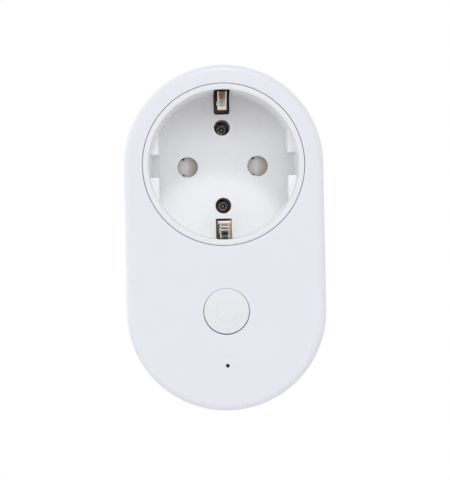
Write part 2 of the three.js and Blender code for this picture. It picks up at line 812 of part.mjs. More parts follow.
/** The pin header that joins the two boards. */
function boardHeader(pins, pitch, rise) {
  const base = block((-pins * pitch) / 2, (pins * pitch) / 2, -2.5, 0, -1.25, 1.25);
  const posts = [];
  for (let i = 0; i < pins; i++) {
    const x = (i + 0.5 - pins / 2) * pitch;
    posts.push(block(x - 0.32, x + 0.32, -rise, -2.0, -0.32, 0.32));
  }
  return join(base, ...posts);
}

// ---- Assembly --------------------------------------------------------------------------------------------

add("front_shell", frontShell(), shellWhite);
add("back_cover", backCover(), shellWhite);
add("socket_well", socketWell(), insertWhite);
for (const [name, z] of [
  ["well_screw_upper", SCREW_Z],
  ["well_screw_lower", -SCREW_Z],
])
  add(name, screw(1.75, 1.3, 0.9, 6.6), darkSteel, 0, SCREW_SEAT_Y - 0.1, z);

add("upper_earth_clip", earthClip(), nickel);
add("lower_earth_clip", mirroredZ(earthClip()), nickel);
add("earth_card_upper", earthCard(), phenolicBrown);
add("earth_card_lower", mirroredZ(earthCard()), phenolicBrown);
add("earth_strap", earthStrap(), nickel);
add("plug_earth_contact_upper", plugEarthContact(), nickel);
add("plug_earth_contact_lower", mirroredZ(plugEarthContact()), nickel);

add("live_pin", plugPin(), nickel, PIN_X);
add("neutral_pin", plugPin(), nickel, -PIN_X);
add("live_receptacle", receptacle(), brass, PIN_X);
add("neutral_receptacle", receptacle(), brass, -PIN_X);
add("live_busbar", pinBusbar(), brass);
add("neutral_busbar", neutralBusbar(), brass);
add("load_busbar", loadBusbar(), brass);

add("shutter", shutter(), shutterGrey);
add("shutter_retainer", shutterRetainer(), insertWhite);
add("shutter_spring", shutterSpring(), springSteel);

add("button_cap", buttonCap(), insertWhite, 0, 0, LOWER_Z);
add("light_pipe", lightPipe(), smokedLens, 0, 0, INDICATOR_Z);

add("control_board", controlBoard(), boardGreen);
const controlFace = CONTROL_BOARD_Y[0] - 0.05;
add("tact_switch_body", tactSwitchBody(), blackPlastic, 0, controlFace, LOWER_Z);
add("tact_switch_plunger", rod(1.0, -3.15, -1.65), blackPlastic, 0, controlFace, LOWER_Z);
add("status_led", casing(1.6, 1.0, 0.7, 0.15), ledWhite, 0, controlFace, INDICATOR_Z);
add("wireless_module", casing(11.0, 14.0, 0.8, 0.3), boardGreen, -10.0, controlFace, -48.5);
add("shield_can", casing(9.6, 9.6, 1.9, 0.5), shieldTin, -10.0, controlFace - 0.85, -50.2);

add("main_board", mainBoard(), boardGreen);
const mainFace = MAIN_BOARD_Y[0] - 0.05;
add("relay", casing(10.0, 18.4, 15.0, 0.6), relayBlue, 16.6, mainFace, -34.8);
add("film_capacitor", casing(13.0, 6.0, 11.0, 0.8), filmYellow, -14.5, mainFace, -28.6);
const canRadius = 4.0;
for (const [name, x] of [
  ["bulk_capacitor_a", -16.4],
  ["bulk_capacitor_b", -7.6],
])
  add(name, electrolytic(canRadius, 11.0), canBlack, x, mainFace - canRadius - 0.1, -41.8);
const [coreWidth, coreRise] = [12.0, 9.6];
add("transformer_core", transformerCore(coreWidth, coreRise, 5.2), ferrite, 3.8, mainFace, -42.4);
add(
  "transformer_winding",
  transformerWinding(coreWidth, coreRise, 11.0),
  tapeYellow,
  3.8,
  mainFace - 2.0,
  -42.4,
);
add("fuse", fuse(9.0, 1.6), ceramic, -1.0, mainFace - 2.05, -33.9);
add("varistor", varistor(3.5, 3.4), varistorBlue, 5.4, mainFace - 4.15, -28.6);
add("choke", choke(), ferrite, 9.2, mainFace, -53.4);
add("bridge_rectifier", packagedChip(6.2, 4.8, 2.6, 2), blackPlastic, 1.2, mainFace, -52.0);
add("optocoupler", packagedChip(4.6, 6.2, 3.4, 2), blackPlastic, 15.8, mainFace, -50.4);
add("metering_chip", packagedChip(9.8, 3.9, 1.6, 8), blackPlastic, -11.4, mainFace, -50.6);
add("shunt_resistor", shunt(), manganin, -13.8, mainFace, -33.8);
add(
  "board_header",
  boardHeader(4, 2.3, mainFace - CONTROL_BOARD_Y[1] - 0.1),
  blackPlastic,
  -7.2,
  mainFace,
  -56.0,
);
MAIN_POSTS.forEach(([x, z], i) =>
  add(`main_board_screw_${i + 1}`, screw(1.9, 1.2, 0.8, 3.2), darkSteel, x, mainFace, z),
);
CONTROL_POSTS.forEach(([x, z], i) => {
  const mesh = add(
    `control_board_screw_${i + 1}`,
    screw(1.8, 1.2, 0.8, 4.4),
    darkSteel,
    x,
    CONTROL_BOARD_Y[1] + 0.05,
    z,
  );
  mesh.rotation.z = Math.PI;
});

export default part;
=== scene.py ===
"""The smart plug's finished look: its mouldings, metal parts, boards and finishes, with light and camera.

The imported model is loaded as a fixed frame, and each visible piece is modelled in its place. Classes and
helpers take millimetres, and meshes hold metres. +X is right as seen from the front, +Z is up, and +Y goes
into the wall. The origin is on the common axis of the socket and the plug.
"""

from __future__ import annotations

import logging
import math
from contextlib import contextmanager
from dataclasses import dataclass, field, replace
from enum import Enum
from typing import Any, Callable, Iterator, Sequence

import bmesh
import bpy
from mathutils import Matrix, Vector

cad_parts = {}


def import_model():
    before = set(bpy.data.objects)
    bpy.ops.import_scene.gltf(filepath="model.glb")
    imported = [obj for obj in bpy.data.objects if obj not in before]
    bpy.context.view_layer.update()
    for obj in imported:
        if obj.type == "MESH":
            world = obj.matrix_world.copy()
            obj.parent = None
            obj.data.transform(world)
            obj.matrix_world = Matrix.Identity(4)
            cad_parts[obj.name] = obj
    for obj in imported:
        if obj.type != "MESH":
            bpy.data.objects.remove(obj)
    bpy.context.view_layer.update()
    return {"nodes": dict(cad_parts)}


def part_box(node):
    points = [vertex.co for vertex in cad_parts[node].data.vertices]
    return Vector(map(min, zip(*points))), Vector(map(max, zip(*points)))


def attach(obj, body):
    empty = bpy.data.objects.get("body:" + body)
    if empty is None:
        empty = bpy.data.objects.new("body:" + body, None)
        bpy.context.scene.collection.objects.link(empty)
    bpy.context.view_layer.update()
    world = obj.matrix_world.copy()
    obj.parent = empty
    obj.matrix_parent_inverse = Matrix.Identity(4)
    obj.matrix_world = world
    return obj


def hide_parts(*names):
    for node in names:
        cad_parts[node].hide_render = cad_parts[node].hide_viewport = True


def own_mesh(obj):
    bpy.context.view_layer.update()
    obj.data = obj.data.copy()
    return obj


LOG = logging.getLogger("smart_plug")
MM = 0.001
PAST = 1.0  # how far a cutter reaches past the face that it cuts through
FAR = 30.0  # a place along X or Z that lies outside the recess and the spigot
BUTTON_STEP = 1.15  # how much wider, in radius, the button's hidden flange is than its face

Pair = tuple[float, float]
Triple = tuple[float, float, float]
Colour = tuple[float, float, float]
Test = Callable[[Vector, Vector], bool]


class Element(Enum):
    """What an edit-mode selection is made of."""

    VERTICES = "VERT"
    EDGES = "EDGE"
    FACES = "FACE"


class Body(Enum):
    """The moving bodies that a piece can ride on."""

    HOUSING = "housing"
    BUTTON = "button"
    SHUTTER = "shutter_slide"
    UPPER_CLIP = "upper_clip"
    LOWER_CLIP = "lower_clip"


class Slot(Enum):
    """The record's material slots."""

    SHELL = "shell"
    INSERT = "insert"
    BUTTON = "button"
    SHUTTER = "shutter"
    INSULATOR = "insulator"
    NICKEL = "nickel"
    BRASS = "brass"
    DARK_STEEL = "dark_steel"
    SPRING_STEEL = "spring_steel"
    LENS = "lens"
    BOARD = "board"
    BLACK_PLASTIC = "black_plastic"
    RELAY_CASE = "relay_case"
    FILM_CASE = "film_case"
    CAN_SLEEVE = "can_sleeve"
    FERRITE = "ferrite"
    TAPE = "tape"
    FUSE_CERAMIC = "fuse_ceramic"
    VARISTOR_COAT = "varistor_coat"
    TINNED_STEEL = "tinned_steel"
    LED = "led"
    SHUNT_ALLOY = "shunt_alloy"


class Box:
    """A CAD node's box at rest, in millimetres."""

    def __init__(self, node: str) -> None:
        """Measures the node.

        Args:
            node: The CAD node's name.
        """
        low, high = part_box(node)
        self.low = low / MM
        self.high = high / MM

    @property
    def centre(self) -> Vector:
        """The middle of the box."""
        return (self.low + self.high) / 2


# ---- Modelling -------------------------------------------------------------------------------------------


def only(piece: bpy.types.Object) -> None:
    """Makes one object the only selected one, and the active one."""
    bpy.ops.object.select_all(action="DESELECT")
    piece.select_set(True)
    bpy.context.view_layer.objects.active = piece


class Workpiece:
    """A mesh under way, shaped step by step from a primitive. Lengths are in millimetres."""

    SMOOTH_BELOW = 32.0  # edges sharper than this, in degrees, stay crisp
    WELD = 0.0005  # points nearer to each other than this become one

    def __init__(self, name: str) -> None:
        """Takes over the primitive that was just added.

        Args:
            name: The name that the mesh and its object get.
        """
        self.object = bpy.context.active_object
        self.object.name = self.object.data.name = name
        self.reach = 0.0
        self.level = 0.0
        self.axis: Pair = (0.0, 0.0)
        self.settle()

    @classmethod
    def disc(cls, name: str, radius: float, y: float, sides: int = 96, axis: Pair = (0.0, 0.0)) -> Workpiece:
        """Adds a flat disc across the Y axis.

        Args:
            name: The piece's name.
            radius: The disc's radius.
            y: The disc's place along Y.
            sides: How many corners it has.
            axis: The x and z of its centre.

        Returns:
            The disc, ready to grow.
        """
        bpy.ops.mesh.primitive_circle_add(
            vertices=sides,
            radius=radius * MM,
            fill_type="NGON",
            location=(axis[0] * MM, y * MM, axis[1] * MM),
            rotation=(math.pi / 2, math.pi / sides, 0.0),
        )
        piece = cls(name)
        piece.reach, piece.level, piece.axis = radius, y, axis
        return piece

    @classmethod
    def rod(
        cls, name: str, radius: float, start: float, end: float, sides: int = 48, axis: Pair = (0.0, 0.0)
    ) -> Workpiece:
        """Adds a plain round rod along Y from start to end."""
        return cls.disc(name, radius, start, sides, axis).grow((radius, end))

    @classmethod
    def box(cls, name: str, low: Triple, high: Triple) -> Workpiece:
        """Adds a block between two corners.

        Args:
            name: The piece's name.
            low: The corner with the lowest values.
            high: The corner with the highest values.

        Returns:
            The block.
        """
        centre = [(a + b) / 2 * MM for a, b in zip(low, high)]
        size = [(b - a) * MM for a, b in zip(low, high)]
        bpy.ops.mesh.primitive_cube_add(size=1.0, location=centre, scale=size)
        return cls(name)

    @classmethod
    def ribbon(cls, name: str, rows: Sequence[Triple]) -> Workpiece:
        """Adds a strip of no thickness that runs through rows of (y, z, half its width).

        Args:
            name: The piece's name.
            rows: The rows, from one end of the strip to the other.

        Returns:
            The strip.
        """
        y, z, half = rows[0]
        bpy.ops.mesh.primitive_plane_add(size=2 * MM, location=(0.0, y * MM, z * MM))
        piece = cls(name)
        with piece.editing():
            piece.pick(Element.VERTICES, lambda place, _: place.y > y)
            bpy.ops.mesh.delete(type="VERT")
            bpy.ops.mesh.select_mode(type="VERT")
            bpy.ops.mesh.select_all(action="SELECT")
            bpy.ops.transform.translate(value=(0.0, MM, 0.0))
            bpy.ops.transform.resize(value=(half, 1.0, 1.0), center_override=(0.0, y * MM, z * MM))
            bpy.ops.mesh.select_mode(type="EDGE")
            for next_y, next_z, next_half in rows[1:]:
                step = (0.0, (next_y - y) * MM, (next_z - z) * MM)
                bpy.ops.mesh.extrude_region_move(TRANSFORM_OT_translate={"value": step})
                factor = next_half / half
                bpy.ops.transform.resize(
                    value=(factor, 1.0, 1.0), center_override=(0.0, next_y * MM, next_z * MM)
                )
                y, z, half = next_y, next_z, next_half
        return piece

    def settle(self) -> None:
        """Puts the object's place, turn and size into its mesh."""
        only(self.object)
        bpy.ops.object.transform_apply(location=True, rotation=True, scale=True)

    @contextmanager
    def editing(self) -> Iterator[None]:
        """Holds the mesh in edit mode."""
        only(self.object)
        bpy.ops.object.mode_set(mode="EDIT")
        try:
            yield
        finally:
            bpy.ops.object.mode_set(mode="OBJECT")

    def pick(self, kind: Element, test: Test, sharper: float = 0.0) -> None:
        """Selects elements in edit mode by their place and normal.

        Args:
            kind: What to select.
            test: Takes a place in millimetres and a unit vector: a normal, or an edge's direction.
            sharper: Edges pass only if their faces meet at more than this angle, in degrees.
        """
        bpy.ops.mesh.select_mode(type=kind.value)
        bpy.ops.mesh.select_all(action="DESELECT")
        mesh = bmesh.from_edit_mesh(self.object.data)
        if kind is Element.FACES:
            for face in mesh.faces:
                face.select_set(test(face.calc_center_median() / MM, face.normal))
        elif kind is Element.EDGES:
            for edge in mesh.edges:
                start, end = (vertex.co / MM for vertex in edge.verts)
                keen = sharper == 0.0 or edge.calc_face_angle(0.0) > math.radians(sharper)
                edge.select_set(keen and test((start + end) / 2, (end - start).normalized()))
        else:
            for vertex in mesh.verts:
                vertex.select_set(test(vertex.co / MM, vertex.normal))
        bmesh.update_edit_mesh(self.object.data)

    def grow(self, *rings: Pair) -> Workpiece:
        """Extrudes the disc through rings of (radius, y) into a closed turned shape.

        Args:
            rings: Each ring's radius and its place along Y.

        Returns:
            The piece itself.
        """
        with self.editing():
            bpy.ops.mesh.select_all(action="SELECT")
            for radius, y in rings:
                step = (0.0, (y - self.level) * MM, 0.0)
                bpy.ops.mesh.extrude_region_move(TRANSFORM_OT_translate={"value": step})
                factor = radius / self.reach
                centre = (self.axis[0] * MM, y * MM, self.axis[1] * MM)
                bpy.ops.transform.resize(value=(factor, 1.0, factor), center_override=centre)
                self.reach, self.level = radius, y
        return self.outwards()

    def outwards(self) -> Workpiece:
        """Turns every face outwards."""
        with self.editing():
            bpy.ops.mesh.select_all(action="SELECT")
            bpy.ops.mesh.normals_make_consistent(inside=False)
        return self

    def shift(self, test: Test, by: Triple) -> Workpiece:
        """Moves the vertices that pass a test.

        Args:
            test: Takes a vertex's place and its normal.
            by: How far they move.

        Returns:
            The piece itself.
        """
        with self.editing():
            self.pick(Element.VERTICES, test)
            bpy.ops.transform.translate(value=[v * MM for v in by])
        return self

    def round_edges(self, width: float, segments: int, test: Test, sharper: float = 0.0) -> Workpiece:
        """Rounds the edges that pass a test of their middle and direction, and are sharp enough.

        Args:
            width: How far the rounding reaches from the edge.
            segments: How many faces it has across.
            test: Takes the place of an edge's middle and the edge's direction.
            sharper: Edges pass only if their faces meet at more than this angle, in degrees.

        Returns:
            The piece itself.
        """
        with self.editing():
            self.pick(Element.EDGES, test, sharper)
            bpy.ops.mesh.bevel(offset=width * MM, segments=segments, affect="EDGES", clamp_overlap=True)
        return self

    def trim(self, place: Triple, normal: Triple) -> Workpiece:
        """Cuts away what lies beyond a plane, on the side that its normal points to, and closes the cut.

        Args:
            place: A point of the plane.
            normal: The plane's normal.

        Returns:
            The piece itself.
        """
        with self.editing():
            bpy.ops.mesh.select_all(action="SELECT")
            bpy.ops.mesh.bisect(
                plane_co=[v * MM for v in place],
                plane_no=normal,
                use_fill=True,
                clear_outer=True,
            )
        return self

    def modify(self, kind: str, **settings: Any) -> Workpiece:
        """Adds a modifier with these settings and applies it.

        Args:
            kind: The modifier's type.
            settings: Its settings.

        Returns:
            The piece itself.
        """
        modifier = self.object.modifiers.new(kind.title(), kind)
        for key, value in settings.items():
            setattr(modifier, key, value)
        only(self.object)
        bpy.ops.object.modifier_apply(modifier=modifier.name)
        return self

    def ease(self, width: float, segments: int = 2, angle: float = 50.0) -> Workpiece:
        """Breaks every edge that is sharper than an angle in degrees.

        Args:
            width: How wide the broken edge is.
            segments: How many faces it has across.
            angle: The angle.

        Returns:
            The piece itself.
        """
        return self.modify(
            "BEVEL",
            width=width * MM,
            segments=segments,
            limit_method="ANGLE",
            angle_limit=math.radians(angle),
            use_clamp_overlap=False,
        )

    def cut(self, *tools: Workpiece) -> Workpiece:
        """Cuts each tool out of the piece."""
        return self._combine("DIFFERENCE", tools)

    def fuse(self, *parts: Workpiece) -> Workpiece:
        """Joins each part to the piece."""
        return self._combine("UNION", parts)

    def _combine(self, operation: str, others: Sequence[Workpiece]) -> Workpiece:
        """Runs a boolean with each other piece, and removes it.

        Args:
            operation: The kind of boolean.
            others: The other pieces.

        Returns:
            The piece itself.
        """
        for other in others:
            self.modify("BOOLEAN", operation=operation, object=other.object, solver="EXACT")
            bpy.data.objects.remove(other.object)
        return self

    def complete(
        self,
        material: bpy.types.Material,
        body: Body,
        slot: Slot,
        nodes: Sequence[str] = (),
    ) -> bpy.types.Object:
        """Cleans the mesh, dresses it and hangs it on its body.

        Args:
            material: The finish.
            body: The CAD body that it rides on.
            slot: The record's slot that its finish belongs to. Not used.
            nodes: The CAD nodes that it stands for.

        Returns:
            The finished object.
        """
        with self.editing():
            bpy.ops.mesh.select_all(action="SELECT")
            bpy.ops.mesh.remove_doubles(threshold=self.WELD * MM)
        self.settle()
        bpy.ops.object.shade_smooth_by_angle(angle=math.radians(self.SMOOTH_BELOW))
        self.object.data.materials.clear()
        self.object.data.materials.append(material)
        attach(self.object, body.value)
        if nodes:
            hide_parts(*nodes)
        LOG.info(
            "%s: %d faces on %s, %d open edges",
            self.object.name,
            len(self.object.data.polygons),
            body.value,
            self.open_edges(),
        )
        return self.object

    def open_edges(self) -> int:
        """Counts the edges that don't join exactly two faces.

        Returns:
            How many there are.
        """
        mesh = bmesh.new()
        mesh.from_mesh(self.object.data)
        count = sum(not edge.is_manifold for edge in mesh.edges)
        mesh.free()
        return count


def flared_tool(
    name: str,
    radius: float,
    mouth: float,
    depth: float,
    flare: float,
    sides: int = 64,
    axis: Pair = (0.0, 0.0),
) -> Workpiece:
    """A round cutter whose hole has a broken edge at its mouth.

    Args:
        name: The cutter's name.
        radius: The hole's radius.
        mouth: The y of the face that the hole opens in, towards -Y.
        depth: The y of the hole's far end.
        flare: How wide the broken edge is.
        sides: How many sides the hole has.
        axis: The x and z of the hole's centre.

    Returns:
        The cutter.
    """
    return Workpiece.disc(name, radius, depth, sides, axis).grow(
        (radius, mouth + flare),
        (radius + flare, mouth),
        (radius + flare, mouth - PAST),
    )


def smooth_line(points: Sequence[Pair], steps: int) -> list[Pair]:
    """Returns points on a smooth curve that passes through the given ones.

    Args:
        points: The points that it passes through.
        steps: How many steps it takes from each point to the next.

    Returns:
        The points, both ends among them.
    """
    line = [Vector(point) for point in points]
    line = [line[0], *line, line[-1]]
    result = []
    for before, start, end, after in zip(line, line[1:], line[2:], line[3:]):
        for step in range(steps):
            t = step / steps
            bend = (end - before) / 2 * t + (2 * before - 5 * start + 4 * end - after) / 2 * t**2
            place = start + bend + (3 * start - before - 3 * end + after) / 2 * t**3
            result.append(tuple(place))
    return [*result, tuple(points[-1])]


def stadium(name: str, radius: float, y: float, drop: float, sides: int = 160) -> Workpiece:
    """A flat disc whose lower half is moved down, which leaves straight sides between two half circles.

    Args:
        name: The piece's name.
        radius: The radius of both half circles.
        y: The disc's place along Y.
        drop: How far the lower half is moved down.
        sides: How many sides both half circles have.

    Returns:
        The disc, ready to grow.
    """
    piece = Workpiece.disc(name, radius, y, sides)
    return piece.shift(lambda place, _: place.z < 0, (0.0, 0.0, -drop))


# ---- Finishes --------------------------------------------------------------------------------------------


class Sheet:
    """A node tree that is being filled in."""

    def __init__(self, tree: bpy.types.NodeTree) -> None:
        """Takes the tree to fill."""
        self.tree = tree

    def add(self, kind: str, **settings: Any) -> bpy.types.Node:
        """Adds a node and sets it up.

        Args:
            kind: The node's type.
            settings: Values of its properties, or of its inputs where it has no such property. An input's
                name has underscores for its spaces.

        Returns:
            The node.
        """
        node = self.tree.nodes.new(kind)
        for key, value in settings.items():
            if hasattr(node, key):
                setattr(node, key, value)
            else:
                node.inputs[key.replace("_", " ").title()].default_value = value
        return node

    def link(self, source: bpy.types.NodeSocket, target: bpy.types.NodeSocket) -> None:
        """Joins an output to an input."""
        self.tree.links.new(source, target)

    def blend(self, factor: bpy.types.NodeSocket, first: Any, second: Any) -> bpy.types.NodeSocket:
        """Mixes two colours, each a socket or a fixed colour, and returns the result.

        Args:
            factor: The mask, which gives the second colour where it is 1.
            first: The first colour.
            second: The second colour.

        Returns:
            The result's socket.
        """
        node = self.add("ShaderNodeMix", data_type="RGBA")
        self.link(factor, node.inputs[0])
        for value, target in ((first, node.inputs[6]), (second, node.inputs[7])):
            if isinstance(value, bpy.types.NodeSocket):
                self.link(value, target)
            else:
                target.default_value = (*value, 1.0)
        return node.outputs[2]


def new_group(name: str, inputs: dict[str, tuple[str, Any]], outputs: dict[str, str]) -> Sheet:
    """Starts a shader node group.

    Args:
        name: The group's name.
        inputs: Each input's name, with its socket type and default value.
        outputs: Each output's name, with its socket type.

    Returns:
        The group's tree, with its input and output nodes in place.
    """
    tree = bpy.data.node_groups.new(name, "ShaderNodeTree")
    for label, (kind, value) in inputs.items():
        socket = tree.interface.new_socket(label, in_out="INPUT", socket_type=kind)
        if value is not None:
            socket.default_value = value
    for label, kind in outputs.items():
        tree.interface.new_socket(label, in_out="OUTPUT", socket_type=kind)
    sheet = Sheet(tree)
    sheet.source = sheet.add("NodeGroupInput")
    sheet.sink = sheet.add("NodeGroupOutput")
    return sheet


FLOAT = "NodeSocketFloat"
COLOUR = "NodeSocketColor"
VECTOR = "NodeSocketVector"


class Effects:
    """The shader groups that the finishes share, each built once."""

    def __init__(self) -> None:
        """Builds every group."""
        self.clouding = self._clouding()
        self.grain = self._grain()
        self.specks = self._specks()
        self.brushing = self._brushing()
        self.tracks = self._tracks()
        self.slope = self._slope()
        self.height = self._span("Height", "Z", waver=0.2, folded=True)
        self.breadth = self._span("Breadth", "X", waver=0.0, folded=True)
        self.depth = self._span("Depth", "Y", waver=0.0, folded=False)
        self.rise = self._span("Rise", "Z", waver=2.0, folded=False)
        self.side = self._span("Side", "X", waver=0.0, folded=False)

    @staticmethod
    def _clouding() -> bpy.types.NodeTree:
        """Slow changes between two colours."""
        sheet = new_group(
            "Clouding",
            {
                "Vector": (VECTOR, None),
                "Scale": (FLOAT, 60.0),
                "First": (COLOUR, (0.8, 0.8, 0.8, 1.0)),
                "Second": (COLOUR, (0.7, 0.7, 0.7, 1.0)),
            },
            {"Colour": COLOUR},
        )
        noise = sheet.add("ShaderNodeTexNoise", detail=3.0)
        spread = sheet.add("ShaderNodeMapRange", From_Min=0.3, From_Max=0.7)
        sheet.link(sheet.source.outputs["Vector"], noise.inputs["Vector"])
        sheet.link(sheet.source.outputs["Scale"], noise.inputs["Scale"])
        sheet.link(noise.outputs["Fac"], spread.inputs["Value"])
        first, second = sheet.source.outputs["First"], sheet.source.outputs["Second"]
        mixed = sheet.blend(spread.outputs["Result"], first, second)
        sheet.link(mixed, sheet.sink.inputs["Colour"])
        return sheet.tree

    @staticmethod
    def _grain() -> bpy.types.NodeTree:
        """The fine texture of a moulded or cast surface, as height and roughness."""
        sheet = new_group(
            "Grain",
            {
                "Vector": (VECTOR, None),
                "Scale": (FLOAT, 2500.0),
                "Smoothest": (FLOAT, 0.35),
                "Roughest": (FLOAT, 0.5),
            },
            {"Height": FLOAT, "Roughness": FLOAT},
        )
        fine = sheet.add("ShaderNodeTexNoise", detail=2.0)
        broad = sheet.add("ShaderNodeTexNoise", detail=2.0, scale=180.0)
        spread = sheet.add("ShaderNodeMapRange", From_Min=0.3, From_Max=0.7)
        sheet.link(sheet.source.outputs["Vector"], fine.inputs["Vector"])
        sheet.link(sheet.source.outputs["Vector"], broad.inputs["Vector"])
        sheet.link(sheet.source.outputs["Scale"], fine.inputs["Scale"])
        sheet.link(broad.outputs["Fac"], spread.inputs["Value"])
        sheet.link(sheet.source.outputs["Smoothest"], spread.inputs["To Min"])
        sheet.link(sheet.source.outputs["Roughest"], spread.inputs["To Max"])
        sheet.link(fine.outputs["Fac"], sheet.sink.inputs["Height"])
        sheet.link(spread.outputs["Result"], sheet.sink.inputs["Roughness"])
        return sheet.tree

    @staticmethod
    def _specks() -> bpy.types.NodeTree:
        """A mask of small scattered dots, such as dust or pits."""
        sheet = new_group(
            "Specks",
            {"Vector": (VECTOR, None), "Scale": (FLOAT, 90.0), "Size": (FLOAT, 0.02)},
            {"Mask": FLOAT},
        )
        cells = sheet.add("ShaderNodeTexVoronoi", feature="F1")
        ragged = sheet.add("ShaderNodeTexNoise", detail=2.0, scale=900.0)
        uneven = sheet.add("ShaderNodeMath", operation="MULTIPLY")
        near = sheet.add("ShaderNodeMath", operation="LESS_THAN")
        sheet.link(sheet.source.outputs["Vector"], cells.inputs["Vector"])
        sheet.link(sheet.source.outputs["Vector"], ragged.inputs["Vector"])
        sheet.link(sheet.source.outputs["Scale"], cells.inputs["Scale"])
        sheet.link(sheet.source.outputs["Size"], uneven.inputs[0])
        sheet.link(ragged.outputs["Fac"], uneven.inputs[1])
        sheet.link(cells.outputs["Distance"], near.inputs[0])
        sheet.link(uneven.outputs[0], near.inputs[1])
        sheet.link(near.outputs[0], sheet.sink.inputs["Mask"])
        return sheet.tree

    @staticmethod
    def _brushing() -> bpy.types.NodeTree:
        """Drawn or rolled lines on metal, as height and roughness."""
        sheet = new_group(
            "Brushing",
            {
                "Vector": (VECTOR, None),
                "Stretch": (VECTOR, (1.0, 0.05, 1.0)),
                "Scale": (FLOAT, 4000.0),
                "Smoothest": (FLOAT, 0.15),
                "Roughest": (FLOAT, 0.35),
            },
            {"Height": FLOAT, "Roughness": FLOAT},
        )
        along = sheet.add("ShaderNodeVectorMath", operation="MULTIPLY")
        lines = sheet.add("ShaderNodeTexNoise", detail=4.0)
        spread = sheet.add("ShaderNodeMapRange", From_Min=0.3, From_Max=0.7)
        sheet.link(sheet.source.outputs["Vector"], along.inputs[0])
        sheet.link(sheet.source.outputs["Stretch"], along.inputs[1])
        sheet.link(along.outputs["Vector"], lines.inputs["Vector"])
        sheet.link(sheet.source.outputs["Scale"], lines.inputs["Scale"])
        sheet.link(lines.outputs["Fac"], spread.inputs["Value"])
        sheet.link(sheet.source.outputs["Smoothest"], spread.inputs["To Min"])
        sheet.link(sheet.source.outputs["Roughest"], spread.inputs["To Max"])
        sheet.link(lines.outputs["Fac"], sheet.sink.inputs["Height"])
        sheet.link(spread.outputs["Result"], sheet.sink.inputs["Roughness"])
        return sheet.tree

    @staticmethod
    def _tracks() -> bpy.types.NodeTree:
        """A mask of copper tracks under a board's solder mask."""
        sheet = new_group(
            "Tracks",
            {"Vector": (VECTOR, None), "Scale": (FLOAT, 260.0)},
            {"Mask": FLOAT},
        )
        lanes = sheet.add("ShaderNodeTexVoronoi", feature="F1", distance="MANHATTAN")
        steps = sheet.add("ShaderNodeMath", operation="PINGPONG")
        steps.inputs[1].default_value = 0.16
        edge = sheet.add("ShaderNodeMath", operation="GREATER_THAN")
        edge.inputs[1].default_value = 0.09
        sheet.link(sheet.source.outputs["Vector"], lanes.inputs["Vector"])
        sheet.link(sheet.source.outputs["Scale"], lanes.inputs["Scale"])
        sheet.link(lanes.outputs["Distance"], steps.inputs[0])
        sheet.link(steps.outputs[0], edge.inputs[0])
        sheet.link(edge.outputs[0], sheet.sink.inputs["Mask"])
        return sheet.tree

    @staticmethod
    def _slope() -> bpy.types.NodeTree:
        """A mask of the faces that slope towards -X."""
        sheet = new_group("Slope", {"Normal": (VECTOR, None)}, {"Mask": FLOAT})
        parts = sheet.add("ShaderNodeSeparateXYZ")
        rise = sheet.add("ShaderNodeMapRange", From_Min=-0.1, From_Max=-0.3)
        sheet.link(sheet.source.outputs["Normal"], parts.inputs[0])
        sheet.link(parts.outputs["X"], rise.inputs["Value"])
        sheet.link(rise.outputs["Result"], sheet.sink.inputs["Mask"])
        return sheet.tree

    @staticmethod
    def _span(name: str, axis: str, waver: float, folded: bool) -> bpy.types.NodeTree:
        """A fraction that rises as a point's coordinate goes from one value to another.

        Args:
            name: The group's name.
            axis: The coordinate.
            waver: The most that noise adds to the coordinate, in millimetres.
            folded: Whether only the coordinate's distance from zero counts.

        Returns:
            The group.
        """
        sheet = new_group(
            name, {"Vector": (VECTOR, None), "From": (FLOAT, 0.0), "To": (FLOAT, 1.0)}, {"Fraction": FLOAT}
        )
        parts = sheet.add("ShaderNodeSeparateXYZ")
        far = sheet.add("ShaderNodeMath", operation="ABSOLUTE" if folded else "MULTIPLY")
        far.inputs[1].default_value = 1.0
        noise = sheet.add("ShaderNodeTexNoise", detail=1.0, scale=900.0)
        uneven = sheet.add("ShaderNodeMath", operation="MULTIPLY_ADD")
        uneven.inputs[1].default_value = waver * MM
        fraction = sheet.add("ShaderNodeMapRange")
        sheet.link(sheet.source.outputs["Vector"], parts.inputs[0])
        sheet.link(sheet.source.outputs["Vector"], noise.inputs["Vector"])
        sheet.link(parts.outputs[axis], far.inputs[0])
        sheet.link(noise.outputs["Fac"], uneven.inputs[0])
        sheet.link(far.outputs[0], uneven.inputs[2])
        sheet.link(uneven.outputs[0], fraction.inputs["Value"])
        sheet.link(sheet.source.outputs["From"], fraction.inputs["From Min"])
        sheet.link(sheet.source.outputs["To"], fraction.inputs["From Max"])
        sheet.link(fraction.outputs["Result"], sheet.sink.inputs["Fraction"])
        return sheet.tree


